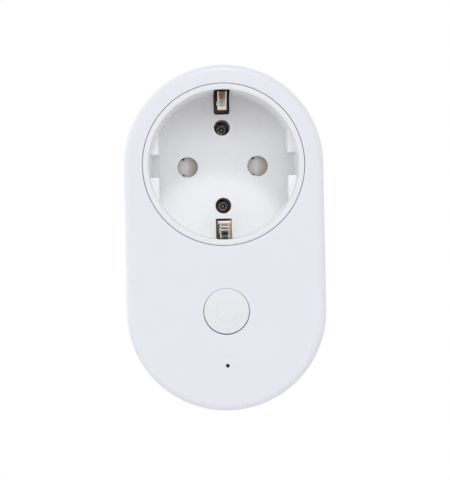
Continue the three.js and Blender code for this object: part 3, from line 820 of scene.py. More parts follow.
class Surface(Sheet):
    """A material with a Principled shader, object coordinates and a bump."""

    def __init__(self, name: str, metallic: float, bump: float, depth: float) -> None:
        """Starts the material.

        Args:
            name: The material's name.
            metallic: 0 for plastic and ceramic, 1 for bare metal.
            bump: The bump's strength.
            depth: How deep the bump's texture is, in millimetres.
        """
        self.material = bpy.data.materials.new(name)
        self.material.use_nodes = True
        super().__init__(self.material.node_tree)
        self.shader = self.tree.nodes["Principled BSDF"]
        self.shader.inputs["Metallic"].default_value = metallic
        coordinates = self.add("ShaderNodeTexCoord")
        self.place = coordinates.outputs["Object"]
        self.facing = coordinates.outputs["Normal"]
        self.bump = self.add("ShaderNodeBump")
        self.bump.inputs["Strength"].default_value = bump
        self.bump.inputs["Distance"].default_value = depth * MM
        self.link(self.bump.outputs["Normal"], self.shader.inputs["Normal"])

    def effect(self, group: bpy.types.NodeTree, **values: Any) -> bpy.types.Node:
        """Places a shared group, fed with the object coordinates.

        Args:
            group: The group.
            values: Values of its inputs, by name.

        Returns:
            The group's node.
        """
        node = self.tree.nodes.new("ShaderNodeGroup")
        node.node_tree = group
        for key, value in values.items():
            node.inputs[key].default_value = value
        self.link(self.place, node.inputs["Vector"])
        return node

    def colour(self, source: bpy.types.NodeSocket) -> None:
        """Feeds the base colour."""
        self.link(source, self.shader.inputs["Base Color"])

    def tint(self, mask: bpy.types.NodeTree, span: Pair, tone: Colour) -> None:
        """Blends a tone over the base colour as a coordinate goes through a span.

        Args:
            mask: The group that turns the coordinate into a fraction.
            span: Where the tone starts and where it is full, in millimetres.
            tone: The tone.
        """
        self.cover(self.fraction(mask, span), tone)

    def cover(self, mask: bpy.types.NodeSocket, tone: Colour) -> None:
        """Blends a tone over the base colour where a mask is 1."""
        plain = self.shader.inputs["Base Color"].links[0].from_socket
        self.colour(self.blend(mask, plain, tone))

    def fraction(self, mask: bpy.types.NodeTree, span: Pair) -> bpy.types.NodeSocket:
        """Returns how far a coordinate has gone through a span in millimetres, as 0 to 1."""
        node = self.effect(mask, From=span[0] * MM, To=span[1] * MM)
        return node.outputs["Fraction"]

    def texture(self, node: bpy.types.Node) -> None:
        """Feeds roughness and bump from a group that puts out both."""
        self.link(node.outputs["Roughness"], self.shader.inputs["Roughness"])
        self.link(node.outputs["Height"], self.bump.inputs["Height"])


@dataclass(frozen=True)
class Plastic:
    """A moulded plastic, lacquer or ceramic: two near colours, a grain and a little dust."""

    name: str
    colour: Colour
    shade: Colour
    roughness: Pair = (0.34, 0.46)
    grain_scale: float = 2500.0
    grain_depth: float = 0.012
    cloud_scale: float = 55.0
    dust: Colour = (0.35, 0.33, 0.31)
    dust_size: float = 0.012
    dust_scale: float = 70.0

    def build(self, effects: Effects) -> bpy.types.Material:
        """Makes the material."""
        return self.surface(effects).material

    def surface(self, effects: Effects) -> Surface:
        """Makes the material and returns it with its nodes at hand.

        Args:
            effects: The shared groups.

        Returns:
            The surface.
        """
        surface = Surface(self.name, 0.0, 0.35, self.grain_depth)
        clouds = surface.effect(
            effects.clouding,
            Scale=self.cloud_scale,
            First=(*self.colour, 1.0),
            Second=(*self.shade, 1.0),
        )
        specks = surface.effect(effects.specks, Scale=self.dust_scale, Size=self.dust_size)
        grain = surface.effect(
            effects.grain,
            Scale=self.grain_scale,
            Smoothest=self.roughness[0],
            Roughest=self.roughness[1],
        )
        surface.colour(surface.blend(specks.outputs["Mask"], clouds.outputs["Colour"], self.dust))
        surface.texture(grain)
        return surface


@dataclass(frozen=True)
class TonedPlastic(Plastic):
    """A moulded plastic with another tone on its front rim and a darker one high up, which is painted shadow
    under the rim. Against the rim's tone, the brighter colour of the rest is painted light held inside the
    recess.
    """

    # tone is the rim's plainer colour; the brighter colour elsewhere on the insert is painted light for light
    # held inside the recess.
    tone: Colour = (0.74, 0.757, 0.79)
    tone_range: Pair = (-40.6, -41.2)
    # high_shade is painted shade: the upper recess is darkened as if in the rim's shadow, out of the key
    # light.
    high_shade: Colour = (0.735, 0.73, 0.75)
    high_shade_range: Pair = (7.5, 18.0)

    def build(self, effects: Effects) -> bpy.types.Material:
        """Makes the material.

        Args:
            effects: The shared groups.

        Returns:
            The material.
        """
        surface = self.surface(effects)
        # painted shade high in the recess
        surface.tint(effects.rise, self.high_shade_range, self.high_shade)
        # the rim keeps the plainer tone, and the brighter recess beside it is painted light
        surface.tint(effects.depth, self.tone_range, self.tone)
        return surface.material


@dataclass(frozen=True)
class SideLightPlastic(Plastic):
    """A plastic that takes another tone towards one side, along X: painted shade on the upper card, painted
    light on the lower one.
    """

    # the default tone is a near-black painted shade towards +X
    tone: Colour = (0.02, 0.014, 0.01)
    tone_range: Pair = (0.6, 1.5)

    def build(self, effects: Effects) -> bpy.types.Material:
        """Makes the material.

        Args:
            effects: The shared groups.

        Returns:
            The material.
        """
        surface = self.surface(effects)
        surface.tint(effects.side, self.tone_range, self.tone)
        return surface.material


@dataclass(frozen=True)
class SlopeShadedPlastic(Plastic):
    """A moulded plastic whose slopes towards -X are painted darker: painted shade on the shutter's ramps."""

    # painted shade for the ramps' slopes
    slope_shade: Colour = (0.42, 0.385, 0.33)

    def build(self, effects: Effects) -> bpy.types.Material:
        """Makes the material.

        Args:
            effects: The shared groups.

        Returns:
            The material.
        """
        surface = self.surface(effects)
        slope_mask = surface.tree.nodes.new("ShaderNodeGroup")
        slope_mask.node_tree = effects.slope
        surface.link(surface.facing, slope_mask.inputs["Normal"])
        # painted shade over the faces that slope towards -X
        surface.cover(slope_mask.outputs["Mask"], self.slope_shade)
        return surface.material


@dataclass(frozen=True)
class Metal:
    """A bare or plated metal with drawn lines along Y and a slow change of tint."""

    name: str
    colour: Colour
    shade: Colour
    roughness: Pair = (0.16, 0.32)
    stretch: Triple = (1.0, 0.04, 1.0)
    line_scale: float = 5000.0
    line_depth: float = 0.004
    cloud_scale: float = 300.0

    def build(self, effects: Effects) -> bpy.types.Material:
        """Makes the material."""
        return self.surface(effects).material

    def surface(self, effects: Effects) -> Surface:
        """Makes the material and returns it with its nodes at hand.

        Args:
            effects: The shared groups.

        Returns:
            The surface.
        """
        surface = Surface(self.name, 1.0, 0.3, self.line_depth)
        clouds = surface.effect(
            effects.clouding,
            Scale=self.cloud_scale,
            First=(*self.colour, 1.0),
            Second=(*self.shade, 1.0),
        )
        lines = surface.effect(
            effects.brushing,
            Stretch=self.stretch,
            Scale=self.line_scale,
            Smoothest=self.roughness[0],
            Roughest=self.roughness[1],
        )
        surface.colour(clouds.outputs["Colour"])
        surface.texture(lines)
        return surface


@dataclass(frozen=True)
class DriveShadedMetal(Metal):
    """A metal that takes a dark tone behind a depth: painted shade inside a screw's drive."""

    # tone is painted shade that darkens the inside of the drive
    tone: Colour = (0.04, 0.035, 0.035)
    tone_range: Pair = (0.0, 0.1)

    def build(self, effects: Effects) -> bpy.types.Material:
        """Makes the material.

        Args:
            effects: The shared groups.

        Returns:
            The material.
        """
        surface = self.surface(effects)
        surface.tint(effects.depth, self.tone_range, self.tone)
        return surface.material


@dataclass(frozen=True)
class TarnishedLitMetal(Metal):
    """A plated metal with bands across it, placed by height: tarnish tints mixed with painted highlights and
    painted shadows, and a painted highlight on its side edges.
    """

    tarnish_and_light_bands: tuple[tuple[float, Colour], ...] = ()
    band_range: Pair = (14.5, 19.5)
    # edge is a painted highlight on the strip's side edges
    edge: Colour = (0.88, 0.82, 0.72)
    edge_highlight_range: Pair = (0.85, 1.05)

    def build(self, effects: Effects) -> bpy.types.Material:
        """Makes the material.

        Args:
            effects: The shared groups.

        Returns:
            The material.
        """
        surface = self.surface(effects)
        ramp = surface.add("ShaderNodeValToRGB")
        elements = ramp.color_ramp.elements
        while len(elements) < len(self.tarnish_and_light_bands):
            elements.new(1.0)
        low, high = self.band_range
        for element, (height, colour) in zip(elements, self.tarnish_and_light_bands):
            element.position = (height - low) / (high - low)
            element.color = (*colour, 1.0)
        surface.link(surface.fraction(effects.height, self.band_range), ramp.inputs["Fac"])
        surface.colour(ramp.outputs["Color"])
        # painted highlight on the side edges
        surface.tint(effects.breadth, self.edge_highlight_range, self.edge)
        return surface.material


@dataclass(frozen=True)
class Laminate:
    """A circuit board: solder mask with copper tracks showing through."""

    name: str
    mask: Colour
    track: Colour
    roughness: Pair = (0.25, 0.4)

    def build(self, effects: Effects) -> bpy.types.Material:
        """Makes the material.

        Args:
            effects: The shared groups.

        Returns:
            The material.
        """
        surface = Surface(self.name, 0.0, 0.4, 0.02)
        tracks = surface.effect(effects.tracks)
        grain = surface.effect(effects.grain, Smoothest=self.roughness[0], Roughest=self.roughness[1])
        surface.colour(surface.blend(tracks.outputs["Mask"], self.mask, self.track))
        surface.texture(grain)
        surface.link(tracks.outputs["Mask"], surface.bump.inputs["Height"])
        return surface.material


FINISHES: dict[Slot, Plastic | Metal | Laminate] = {
    Slot.SHELL: Plastic("shell_white", (0.726, 0.749, 0.799), (0.719, 0.743, 0.795)),
    # The insert's colour is brighter than its rim's tone: painted light for light held inside the recess.
    Slot.INSERT: TonedPlastic(
        "insert_white", (0.868, 0.872, 0.893), (0.861, 0.866, 0.889), roughness=(0.28, 0.38)
    ),
    Slot.BUTTON: Plastic("button_white", (0.738, 0.749, 0.775), (0.729, 0.742, 0.77), dust_size=0.0),
    # The shutter's ramps get painted shade on their slopes.
    Slot.SHUTTER: SlopeShadedPlastic(
        "shutter_grey", (0.87, 0.86, 0.835), (0.85, 0.84, 0.815), roughness=(0.45, 0.6)
    ),
    Slot.NICKEL: Metal(
        "nickel_plate", (0.72, 0.66, 0.60), (0.64, 0.58, 0.52), roughness=(0.07, 0.16), line_depth=0.0015
    ),
    Slot.BRASS: Metal("brass", (0.66, 0.47, 0.19), (0.56, 0.38, 0.14), roughness=(0.22, 0.4)),
    Slot.DARK_STEEL: Metal(
        "dark_steel",
        (0.46, 0.40, 0.385),
        (0.30, 0.255, 0.245),
        roughness=(0.3, 0.45),
        stretch=(1.0, 1.0, 1.0),
    ),
    Slot.SPRING_STEEL: Metal("spring_steel", (0.55, 0.55, 0.54), (0.45, 0.45, 0.44)),
    Slot.LENS: Plastic("smoked_lens", (0.008, 0.007, 0.012), (0.012, 0.01, 0.016), roughness=(0.08, 0.15)),
    Slot.BOARD: Laminate("solder_mask_green", (0.012, 0.075, 0.036), (0.02, 0.13, 0.055)),
    Slot.BLACK_PLASTIC: Plastic("black_plastic", (0.018, 0.018, 0.019), (0.026, 0.026, 0.027)),
    Slot.RELAY_CASE: Plastic("relay_blue", (0.02, 0.07, 0.30), (0.018, 0.06, 0.26), roughness=(0.25, 0.35)),
    Slot.FILM_CASE: Plastic(
        "film_case_yellow", (0.72, 0.42, 0.03), (0.66, 0.38, 0.025), roughness=(0.25, 0.35)
    ),
    Slot.CAN_SLEEVE: Plastic(
        "sleeve_black", (0.02, 0.022, 0.026), (0.028, 0.03, 0.036), roughness=(0.2, 0.3)
    ),
    Slot.FERRITE: Plastic("ferrite_grey", (0.045, 0.045, 0.05), (0.03, 0.03, 0.034), roughness=(0.55, 0.75)),
    Slot.TAPE: Plastic("winding_tape", (0.74, 0.62, 0.07), (0.68, 0.55, 0.05), roughness=(0.3, 0.45)),
    Slot.FUSE_CERAMIC: Plastic("fuse_ceramic", (0.68, 0.58, 0.42), (0.62, 0.53, 0.38), roughness=(0.3, 0.5)),
    Slot.VARISTOR_COAT: Plastic("epoxy_blue", (0.03, 0.13, 0.45), (0.025, 0.11, 0.4), roughness=(0.25, 0.4)),
    Slot.TINNED_STEEL: Metal("tinned_steel", (0.62, 0.63, 0.64), (0.54, 0.55, 0.56), roughness=(0.25, 0.42)),
    Slot.LED: Plastic("led_lens", (0.85, 0.80, 0.50), (0.80, 0.74, 0.42), roughness=(0.12, 0.2)),
    Slot.SHUNT_ALLOY: Metal("shunt_alloy", (0.42, 0.26, 0.15), (0.36, 0.22, 0.12), roughness=(0.25, 0.45)),
}

# Finishes of single pieces, whose slot has another finish or none.
CARD_FINISH = {
    # The two cards are lit and shaded copies of one brown. The upper one is darker as painted shade, with
    # near-black painted shade towards +X. The lower one is lighter, with a tan painted highlight towards +X.
    "upper": SideLightPlastic(
        "card_brown_shaded_upper", (0.07, 0.048, 0.03), (0.05, 0.035, 0.022), roughness=(0.5, 0.7)
    ),
    "lower": SideLightPlastic(
        "card_brown_lit_lower",
        (0.16, 0.12, 0.09),
        (0.12, 0.09, 0.066),
        roughness=(0.5, 0.7),
        tone=(0.58, 0.44, 0.29),
    ),
}
# The screws' drives are darkened with painted shade.
SCREW_METAL = DriveShadedMetal(
    "screw_steel", (0.66, 0.57, 0.54), (0.50, 0.42, 0.395), roughness=(0.3, 0.45), stretch=(1.0, 1.0, 1.0)
)
# Both clips' bands mix tarnish tints (brown, teal) with painted light: near-white bands are painted
# highlights and near-black ones painted shadow. The upper clip is the more shaded copy and the lower the more
# lit one.
CLIP_METAL = {
    "upper": TarnishedLitMetal(
        "nickel_tarnish_and_light_upper",
        (0.7, 0.65, 0.6),
        (0.6, 0.55, 0.5),
        roughness=(0.1, 0.2),
        line_depth=0.0015,
        tarnish_and_light_bands=(
            (14.9, (0.92, 0.87, 0.78)),
            (15.6, (0.88, 0.82, 0.72)),
            (15.8, (0.58, 0.38, 0.27)),
            (16.1, (0.62, 0.42, 0.30)),
            (16.3, (0.60, 0.62, 0.58)),
            (16.5, (0.33, 0.45, 0.46)),
            (17.3, (0.31, 0.42, 0.43)),
            (17.5, (0.44, 0.26, 0.20)),
            (17.7, (0.40, 0.17, 0.12)),
            (18.2, (0.36, 0.15, 0.11)),
            (18.45, (0.14, 0.09, 0.075)),
            (19.4, (0.12, 0.08, 0.065)),
        ),
    ),
    "lower": TarnishedLitMetal(
        "nickel_tarnish_and_light_lower",
        (0.7, 0.65, 0.6),
        (0.6, 0.55, 0.5),
        roughness=(0.1, 0.2),
        line_depth=0.0015,
        tarnish_and_light_bands=(
            (14.9, (0.97, 0.95, 0.90)),
            (15.45, (0.92, 0.88, 0.80)),
            (15.65, (0.46, 0.35, 0.23)),
            (16.15, (0.50, 0.39, 0.27)),
            (16.3, (0.95, 0.92, 0.86)),
            (16.6, (0.93, 0.90, 0.84)),
            (16.7, (0.05, 0.04, 0.035)),
            (16.95, (0.05, 0.04, 0.035)),
            (17.05, (0.97, 0.95, 0.90)),
            (17.35, (0.90, 0.87, 0.82)),
            (17.5, (0.09, 0.075, 0.07)),
            (17.75, (0.24, 0.22, 0.22)),
            (17.95, (0.03, 0.025, 0.028)),
            (18.6, (0.04, 0.04, 0.05)),
            (19.2, (0.16, 0.17, 0.20)),
        ),
    ),
}
FLOOR = Plastic("floor_white", (0.9, 0.9, 0.9), (0.88, 0.88, 0.88), dust_size=0.0)
MARK = Plastic("mark_grey", (0.718, 0.729, 0.756), (0.71, 0.722, 0.751), dust_size=0.0)


class Palette:
    """Every finish as a material, made when it is first asked for."""

    def __init__(self) -> None:
        """Builds the shared effects."""
        self.effects = Effects()
        self._made: dict[Slot, bpy.types.Material] = {}

    def __getitem__(self, slot: Slot) -> bpy.types.Material:
        """Returns the material of a slot."""
        if slot not in self._made:
            self._made[slot] = FINISHES[slot].build(self.effects)
        return self._made[slot]

    def special(self, finish: Plastic | Metal) -> bpy.types.Material:
        """Returns the material of a finish that only a few pieces have."""
        return bpy.data.materials.get(finish.name) or finish.build(self.effects)


# ---- Housing ---------------------------------------------------------------------------------------------


@dataclass
class FrontShell:
    """The front moulding: a stadium cup with a soft front edge and three holes."""

    palette: Palette
    wall: float = 2.0
    edge_round: float = 2.2
    socket_hole: float = 21.305
    button_gap: float = 0.145
    button_sag: float = 0.115
    indicator_hole: float = 0.5
    indicator_break: float = 0.08
    edge_break: float = 0.06
    post: float = 1.9
    post_foot: float = 2.3
    post_hole: float = 0.85
    collar: Pair = (2.6, 1.7)
    collar_height: float = 2.0

    def build(self) -> None:
        """Models the shell and hangs it on the housing."""
        box, button, lens = Box("front_shell"), Box("button_cap"), Box("light_pipe")
        radius = (box.high.x - box.low.x) / 2
        drop = box.high.z - box.low.z - 2 * radius
        front, rear = box.low.y, box.high.y
        inside = front + self.wall
        shell = stadium("front_shell_moulding", radius, rear, drop)
        shell.grow((radius, front))
        shell.round_edges(self.edge_round, 8, lambda place, _: place.y < front + 0.01)
        with shell.editing():
            shell.pick(Element.FACES, lambda place, normal: place.y > rear - 0.01 and abs(normal.y) > 0.9)
            bpy.ops.mesh.delete(type="FACE")
        shell.modify("SOLIDIFY", thickness=self.wall * MM, offset=-1.0, use_even_offset=True)
        shell.fuse(*self._posts(inside), self._collar(inside, lens))
        face = (button.high.x - button.low.x) / 2 - BUTTON_STEP
        depth, broken = inside + 0.5, self.edge_break
        axis = (button.centre.x, button.centre.z - self.button_sag)
        lens_axis = (lens.centre.x, lens.centre.z)
        shell.cut(
            flared_tool("socket_hole", self.socket_hole, front, depth, broken, 192),
            flared_tool("button_hole", face + self.button_gap, front, depth, broken, 96, axis),
            flared_tool(
                "indicator_hole", self.indicator_hole, front, depth, self.indicator_break, 32, lens_axis
            ),
        )
        shell.complete(self.palette[Slot.SHELL], Body.HOUSING, Slot.SHELL, ["front_shell"])

    def _posts(self, inside: float) -> list[Workpiece]:
        """The two posts that carry the control board, each with a screw hole.

        Args:
            inside: The y of the front wall's inner face.

        Returns:
            The posts.
        """
        board = Box("control_board").low.y
        posts = []
        for number in (1, 2):
            screw = Box(f"control_board_screw_{number}").centre
            axis = (screw.x, screw.z)
            post = Workpiece.disc("post", self.post, board - 0.1, 32, axis)
            post.grow(
                (self.post, inside + 0.6), (self.post_foot, inside + 0.1), (self.post_foot, inside - 0.2)
            )
            hole = Workpiece.rod("post_hole", self.post_hole, board + PAST, inside + 0.6, 24, axis)
            posts.append(post.cut(hole))
        return posts

    def _collar(self, inside: float, lens: Box) -> Workpiece:
        """The collar round the indicator's light pipe.

        Args:
            inside: The y of the front wall's inner face.
            lens: The light pipe's box.

        Returns:
            The collar.
        """
        axis = (lens.centre.x, lens.centre.z)
        outer, bore = self.collar
        end = inside + self.collar_height
        collar = Workpiece.rod("collar", outer, end, inside - 0.2, 48, axis)
        return collar.cut(Workpiece.rod("collar_hole", bore, end + PAST, inside, 48, axis))


@dataclass
class BackCover:
    """The rear plate with the plug's spigot, its ribs and the channels for its earth strips."""

    palette: Palette
    plate: float = 2.7
    edge_round: float = 1.5
    parting_gap: float = 0.3
    lip: Pair = (24.0, 23.1)
    lip_rise: float = 1.8
    spigot: float = 18.6
    flat: float = 16.9
    rib_half: float = 2.6
    cavity: float = 14.3
    end_wall: float = 2.2
    channel: Pair = (4.0, 15.2)
    strip_slot: Triple = (2.7, 15.2, 16.3)
    pin: float = 2.4
    pin_clearance: float = 0.05
    pocket: tuple[Pair, Pair] = ((-20.3, -4.9), (20.0, 7.3))
    pocket_depth: float = 1.1
    boss: float = 2.6
    boss_front: float = -8.0
    boss_pilot: Triple = (0.95, -9.3, -1.2)
    post: float = 2.4
    post_pilot: Pair = (0.85, -22.5)

    def build(self) -> None:
        """Models the cover and hangs it on the housing."""
        box = Box("back_cover")
        radius = (box.high.x - box.low.x) / 2
        drop = box.high.z - box.low.z - 2 * radius
        back = Box("front_shell").high.y + self.parting_gap + self.plate
        parting = back - self.plate
        cover = stadium("back_cover_moulding", radius, parting, drop)
        cover.grow((radius, back))
        cover.round_edges(self.edge_round, 6, lambda place, _: place.y > back - 0.01)
        outer, inner = self.lip
        lip = stadium("lip", outer, parting - self.lip_rise, drop).grow((outer, parting + 0.5))
        lip.cut(stadium("lip_hollow", inner, parting - 3.0, drop).grow((inner, parting + PAST)))
        cover.fuse(lip, self._spigot(back, box.high.y))
        (x0, z0), (x1, z1) = self.pocket
        floor = parting + self.pocket_depth
        cover.cut(
            Workpiece.rod("cavity", self.cavity, parting - 3.0, box.high.y - self.end_wall, 96),
            Workpiece.box("pocket", (x0, parting - 3.0, z0), (x1, floor, z1)).ease(0.4),
        )
        cover.fuse(*self._bosses(box.high.y), *self._posts(parting))
        cover.cut(*self._holes(parting, back, box.high.y))
        cover.complete(self.palette[Slot.SHELL], Body.HOUSING, Slot.SHELL, ["back_cover"])

    def _spigot(self, back: float, end: float) -> Workpiece:
        """The plug's round body, cut to its flats, ribs and channels, with eased edges.

        Args:
            back: The y of the plate's rear face.
            end: The y of the plug's end face.

        Returns:
            The spigot.
        """
        spigot = Workpiece.disc("spigot", self.spigot, back - 0.5, 160)
        spigot.grow((self.spigot, end - 0.8), (self.spigot - 0.25, end - 0.25), (self.spigot - 0.8, end))
        tools = []
        for side in (-1, 1):
            for half in (-1, 1):
                xs = sorted((side * self.flat, side * FAR))
                zs = sorted((half * self.rib_half, half * FAR))
                tools.append(Workpiece.box("flat", (xs[0], back - 2.0, zs[0]), (xs[1], end + PAST, zs[1])))
            width, inner = self.channel
            zs = sorted((side * inner, side * FAR))
            tools.append(Workpiece.box("channel", (-width, back - 2.0, zs[0]), (width, end + PAST, zs[1])))
        spigot.cut(*tools)
        return spigot.round_edges(
            0.25, 3, lambda place, _: back + 0.4 < place.y < end - 0.9, sharper=25.0
        )

    def _bosses(self, end: float) -> list[Workpiece]:
        """The two bosses that the insert's screws hold to.

        Args:
            end: The y of the plug's end face.

        Returns:
            The bosses.
        """
        bosses = []
        for name in ("well_screw_upper", "well_screw_lower"):
            screw = Box(name).centre
            foot = end - self.end_wall + 0.5
            bosses.append(Workpiece.rod("boss", self.boss, self.boss_front, foot, 32, (screw.x, screw.z)))
        return bosses

    def _posts(self, parting: float) -> list[Workpiece]:
        """The two posts that carry the main board.

        Args:
            parting: The y of the plate's front face.

        Returns:
            The posts.
        """
        posts = []
        for number in (1, 2):
            screw = Box(f"main_board_screw_{number}").centre
            start = Box("main_board").high.y + 0.1
            posts.append(Workpiece.rod("post", self.post, start, parting + 0.5, 32, (screw.x, screw.z)))
        return posts

    def _holes(self, parting: float, back: float, end: float) -> list[Workpiece]:
        """Holes for screws, pins and the plug's earth strips.

        Args:
            parting: The y of the plate's front face.
            back: The y of its rear face.
            end: The y of the plug's end face.

        Returns:
            The cutters.
        """
        tools = []
        radius, start, foot = self.boss_pilot
        for name in ("well_screw_upper", "well_screw_lower"):
            screw = Box(name).centre
            tools.append(Workpiece.rod("pilot", radius, start, foot, 24, (screw.x, screw.z)))
        radius, start = self.post_pilot
        for number in (1, 2):
            screw = Box(f"main_board_screw_{number}").centre
            tools.append(Workpiece.rod("pilot", radius, start, parting + 0.3, 24, (screw.x, screw.z)))
        hole = self.pin + self.pin_clearance
        for name in ("live_pin", "neutral_pin"):
            pin = Box(name).centre
            tool = Workpiece.disc("pin_hole", hole, end - 5.0, 48, (pin.x, pin.z))
            tools.append(tool.grow((hole, end - 0.25), (hole + 0.25, end), (hole + 0.25, end + PAST)))
        half, inner, outer = self.strip_slot
        for side in (-1, 1):
            zs = sorted((side * inner, side * outer))
            low, high = (-half, parting - 2.0, zs[0]), (half, back + 0.2, zs[1])
            tools.append(Workpiece.box("strip_slot", low, high))
        return tools


@dataclass
class SocketInsert:
    """The socket's recess: rim, wall, floor, side guides, pin holes, earth slots and screw tubes."""

    palette: Palette
    outer: float = 21.15
    mouth: float = 19.65
    floor_radius: float = 19.35
    floor_y: float = -24.0
    flange_y: Pair = (-39.3, -38.1)
    guide_x: float = 17.1
    guide_front: float = -37.5
    groove_half: float = 3.05
    pin_hole: float = 2.75
    screw_bore: float = 2.15
    tube: float = 3.1
    slot_half: float = 2.15
    slot_inner: float = 14.1
    slot_corner: dict[int, float] = field(default_factory=lambda: {1: 0.75, -1: 0.3})
    screw_seat: float = 1.4
    seat_hole: float = 1.1
    medallion: float = 3.55
    medallion_rise: float = 0.07

    def build(self) -> None:
        """Models the insert and hangs it on the housing."""
        box = Box("socket_well")
        front, back, flange = box.low.y, self.floor_y + 1.3, (box.high.x - box.low.x) / 2
        insert = Workpiece.disc("socket_insert", self.outer, back, 192).grow(
            (self.outer, self.flange_y[1]),
            (flange, self.flange_y[1]),
            (flange, self.flange_y[0]),
            (self.outer, self.flange_y[0]),
            (self.outer, front + 0.1),
            (self.outer - 0.03, front + 0.03),
            (self.outer - 0.1, front),
            (self.mouth + 0.4, front),
            (self.mouth + 0.12, front + 0.1),
            (self.mouth, front + 0.4),
            (self.floor_radius, self.floor_y - 0.4),
            (self.floor_radius - 0.12, self.floor_y - 0.12),
            (self.floor_radius - 0.4, self.floor_y),
        )
        tubes = [self._tube(name, box.high.y) for name in ("well_screw_upper", "well_screw_lower")]
        insert.fuse(self._guide(-1), self._guide(1), self._medallion(), *tubes)
        insert.cut(*self._holes(back, box.high.y), self._slot(front, back, 1), self._slot(front, back, -1))
        insert.complete(self.palette[Slot.INSERT], Body.HOUSING, Slot.INSERT, ["socket_well"])

    def _guide(self, side: int) -> Workpiece:
        """One side guide, split by a groove.

        Args:
            side: -1 for the left one and 1 for the right one.

        Returns:
            The guide.
        """
        reach = self.mouth + 0.6
        guide = Workpiece.rod("guide", reach, self.floor_y + 0.4, self.guide_front, 192)
        guide.trim((side * self.guide_x, 0.0, 0.0), (-side, 0.0, 0.0))
        half = self.groove_half
        groove = Workpiece.box("groove", (-FAR, -45.0, -half), (FAR, self.floor_y, half))
        guide.cut(groove)
        return guide.round_edges(
            0.25,
            3,
            lambda place, _: math.hypot(place.x, place.z) < reach - 0.8 and place.y < self.floor_y - 0.1,
            sharper=30.0,
        )

    def _medallion(self) -> Workpiece:
        """The plain disc at the middle of the floor."""
        foot = self.medallion + 0.1
        disc = Workpiece.disc("medallion", foot, self.floor_y + 0.4, 64)
        return disc.grow((foot, self.floor_y), (self.medallion, self.floor_y - self.medallion_rise))

    def _tube(self, screw_name: str, end: float) -> Workpiece:
        """The tube behind the floor that a long screw runs in."""
        screw = Box(screw_name).centre
        return Workpiece.rod("tube", self.tube, self.floor_y + 0.5, end, 48, (screw.x, screw.z))

    def _holes(self, back: float, end: float) -> list[Workpiece]:
        """Pin holes and stepped screw bores.

        Args:
            back: The y of the floor's rear face.
            end: The y of the end of the screw tubes.

        Returns:
            The cutters.
        """
        tools = []
        front = self.floor_y
        for name in ("live_pin", "neutral_pin"):
            pin = Box(name).centre
            tools.append(flared_tool("pin_hole", self.pin_hole, front, back + PAST, 0.15, 64, (pin.x, pin.z)))
        for name in ("well_screw_upper", "well_screw_lower"):
            screw = Box(name)
            axis = (screw.centre.x, screw.centre.z)
            seat = screw.low.y + self.screw_seat
            tools.append(flared_tool("bore", self.screw_bore, front, seat, 0.12, 48, axis))
            tools.append(Workpiece.rod("bore_end", self.seat_hole, seat - 0.5, end + PAST, 24, axis))
        return tools

    def _slot(self, front: float, back: float, side: int) -> Workpiece:
        """The slot for one earth clip, through the floor and the wall, with round inner corners.

        Args:
            front: The y of the rim.
            back: The y of the floor's rear face.
            side: 1 for the upper slot and -1 for the lower one.

        Returns:
            The cutter.
        """
        half, inner = self.slot_half, side * self.slot_inner
        zs = sorted((inner, side * FAR))
        slot = Workpiece.box("slot", (-half, front + 1.1, zs[0]), (half, back + PAST, zs[1]))
        return slot.round_edges(
            self.slot_corner[side], 5, lambda place, way: abs(way.y) > 0.9 and abs(place.z - inner) < 0.01
        )


# ---- Socket parts ----------------------------------------------------------------------------------------


@dataclass
class DeepScrews:
    """The two screws at the bottom of the insert's bores, with six-lobed drives round a centre pin."""

    palette: Palette
    head: float = 1.75
    head_rise: float = 1.3
    shank: float = 0.9
    thread_rise: float = 0.12
    thread_pitch: float = 0.55
    point: Pair = (0.25, 0.8)
    lobe_ring: float = 0.8
    lobe: float = 0.24
    core: float = 0.74
    centre_pin: float = 0.36
    drive_depth: float = 1.1

    def build(self) -> None:
        """Models both screws and hangs them on the housing."""
        for name in ("well_screw_upper", "well_screw_lower"):
            box = Box(name)
            axis, top, end = (box.centre.x, box.centre.z), box.low.y, box.high.y
            seat = top + self.head_rise
            screw = Workpiece.disc(f"{name}_piece", self.head - 0.45, top, 48, axis).grow(
                (self.head - 0.15, top + 0.14),
                (self.head, top + 0.45),
                (self.head, seat),
                (self.shank, seat),
                *self._thread(seat, end),
            )
            screw.cut(self._drive(top, axis))
            foot = top + self.drive_depth + 0.2
            pin = Workpiece.disc("pin", self.centre_pin - 0.08, top + 0.1, 16, axis)
            screw.fuse(pin.grow((self.centre_pin, top + 0.18), (self.centre_pin, foot)))
            # painted shade from just below the head's top face, inside the drive
            finish = replace(SCREW_METAL, name=f"{name}_steel", tone_range=(top + 0.3, top + 0.5))
            screw.complete(self.palette.special(finish), Body.HOUSING, Slot.DARK_STEEL, [name])

    def _thread(self, seat: float, end: float) -> list[Pair]:
        """The rings of the shank and its point.

        Args:
            seat: The y of the head's underside.
            end: The y of the screw's point.

        Returns:
            Each ring as its radius and y.
        """
        rings = []
        root = self.shank - self.thread_rise
        tip, length = self.point
        y = seat + 0.6
        while y + self.thread_pitch < end - length:
            rings += [(root, y), (self.shank, y + self.thread_pitch / 2)]
            y += self.thread_pitch
        return [*rings, (root, end - length), (tip, end)]

    def _drive(self, top: float, axis: Pair) -> Workpiece:
        """The six-lobed hole.

        Args:
            top: The y of the head's top.
            axis: The x and z of the screw's centre.

        Returns:
            The cutter.
        """
        bottom = top + self.drive_depth
        drive = Workpiece.rod("drive", self.core, top - 0.5, bottom, 36, axis)
        for step in range(6):
            angle = math.radians(60.0 * step)
            x = axis[0] + self.lobe_ring * math.cos(angle)
            z = axis[1] + self.lobe_ring * math.sin(angle)
            drive.fuse(Workpiece.rod("lobe", self.lobe, top - 0.6, bottom - 0.05, 16, (x, z)))
        return drive


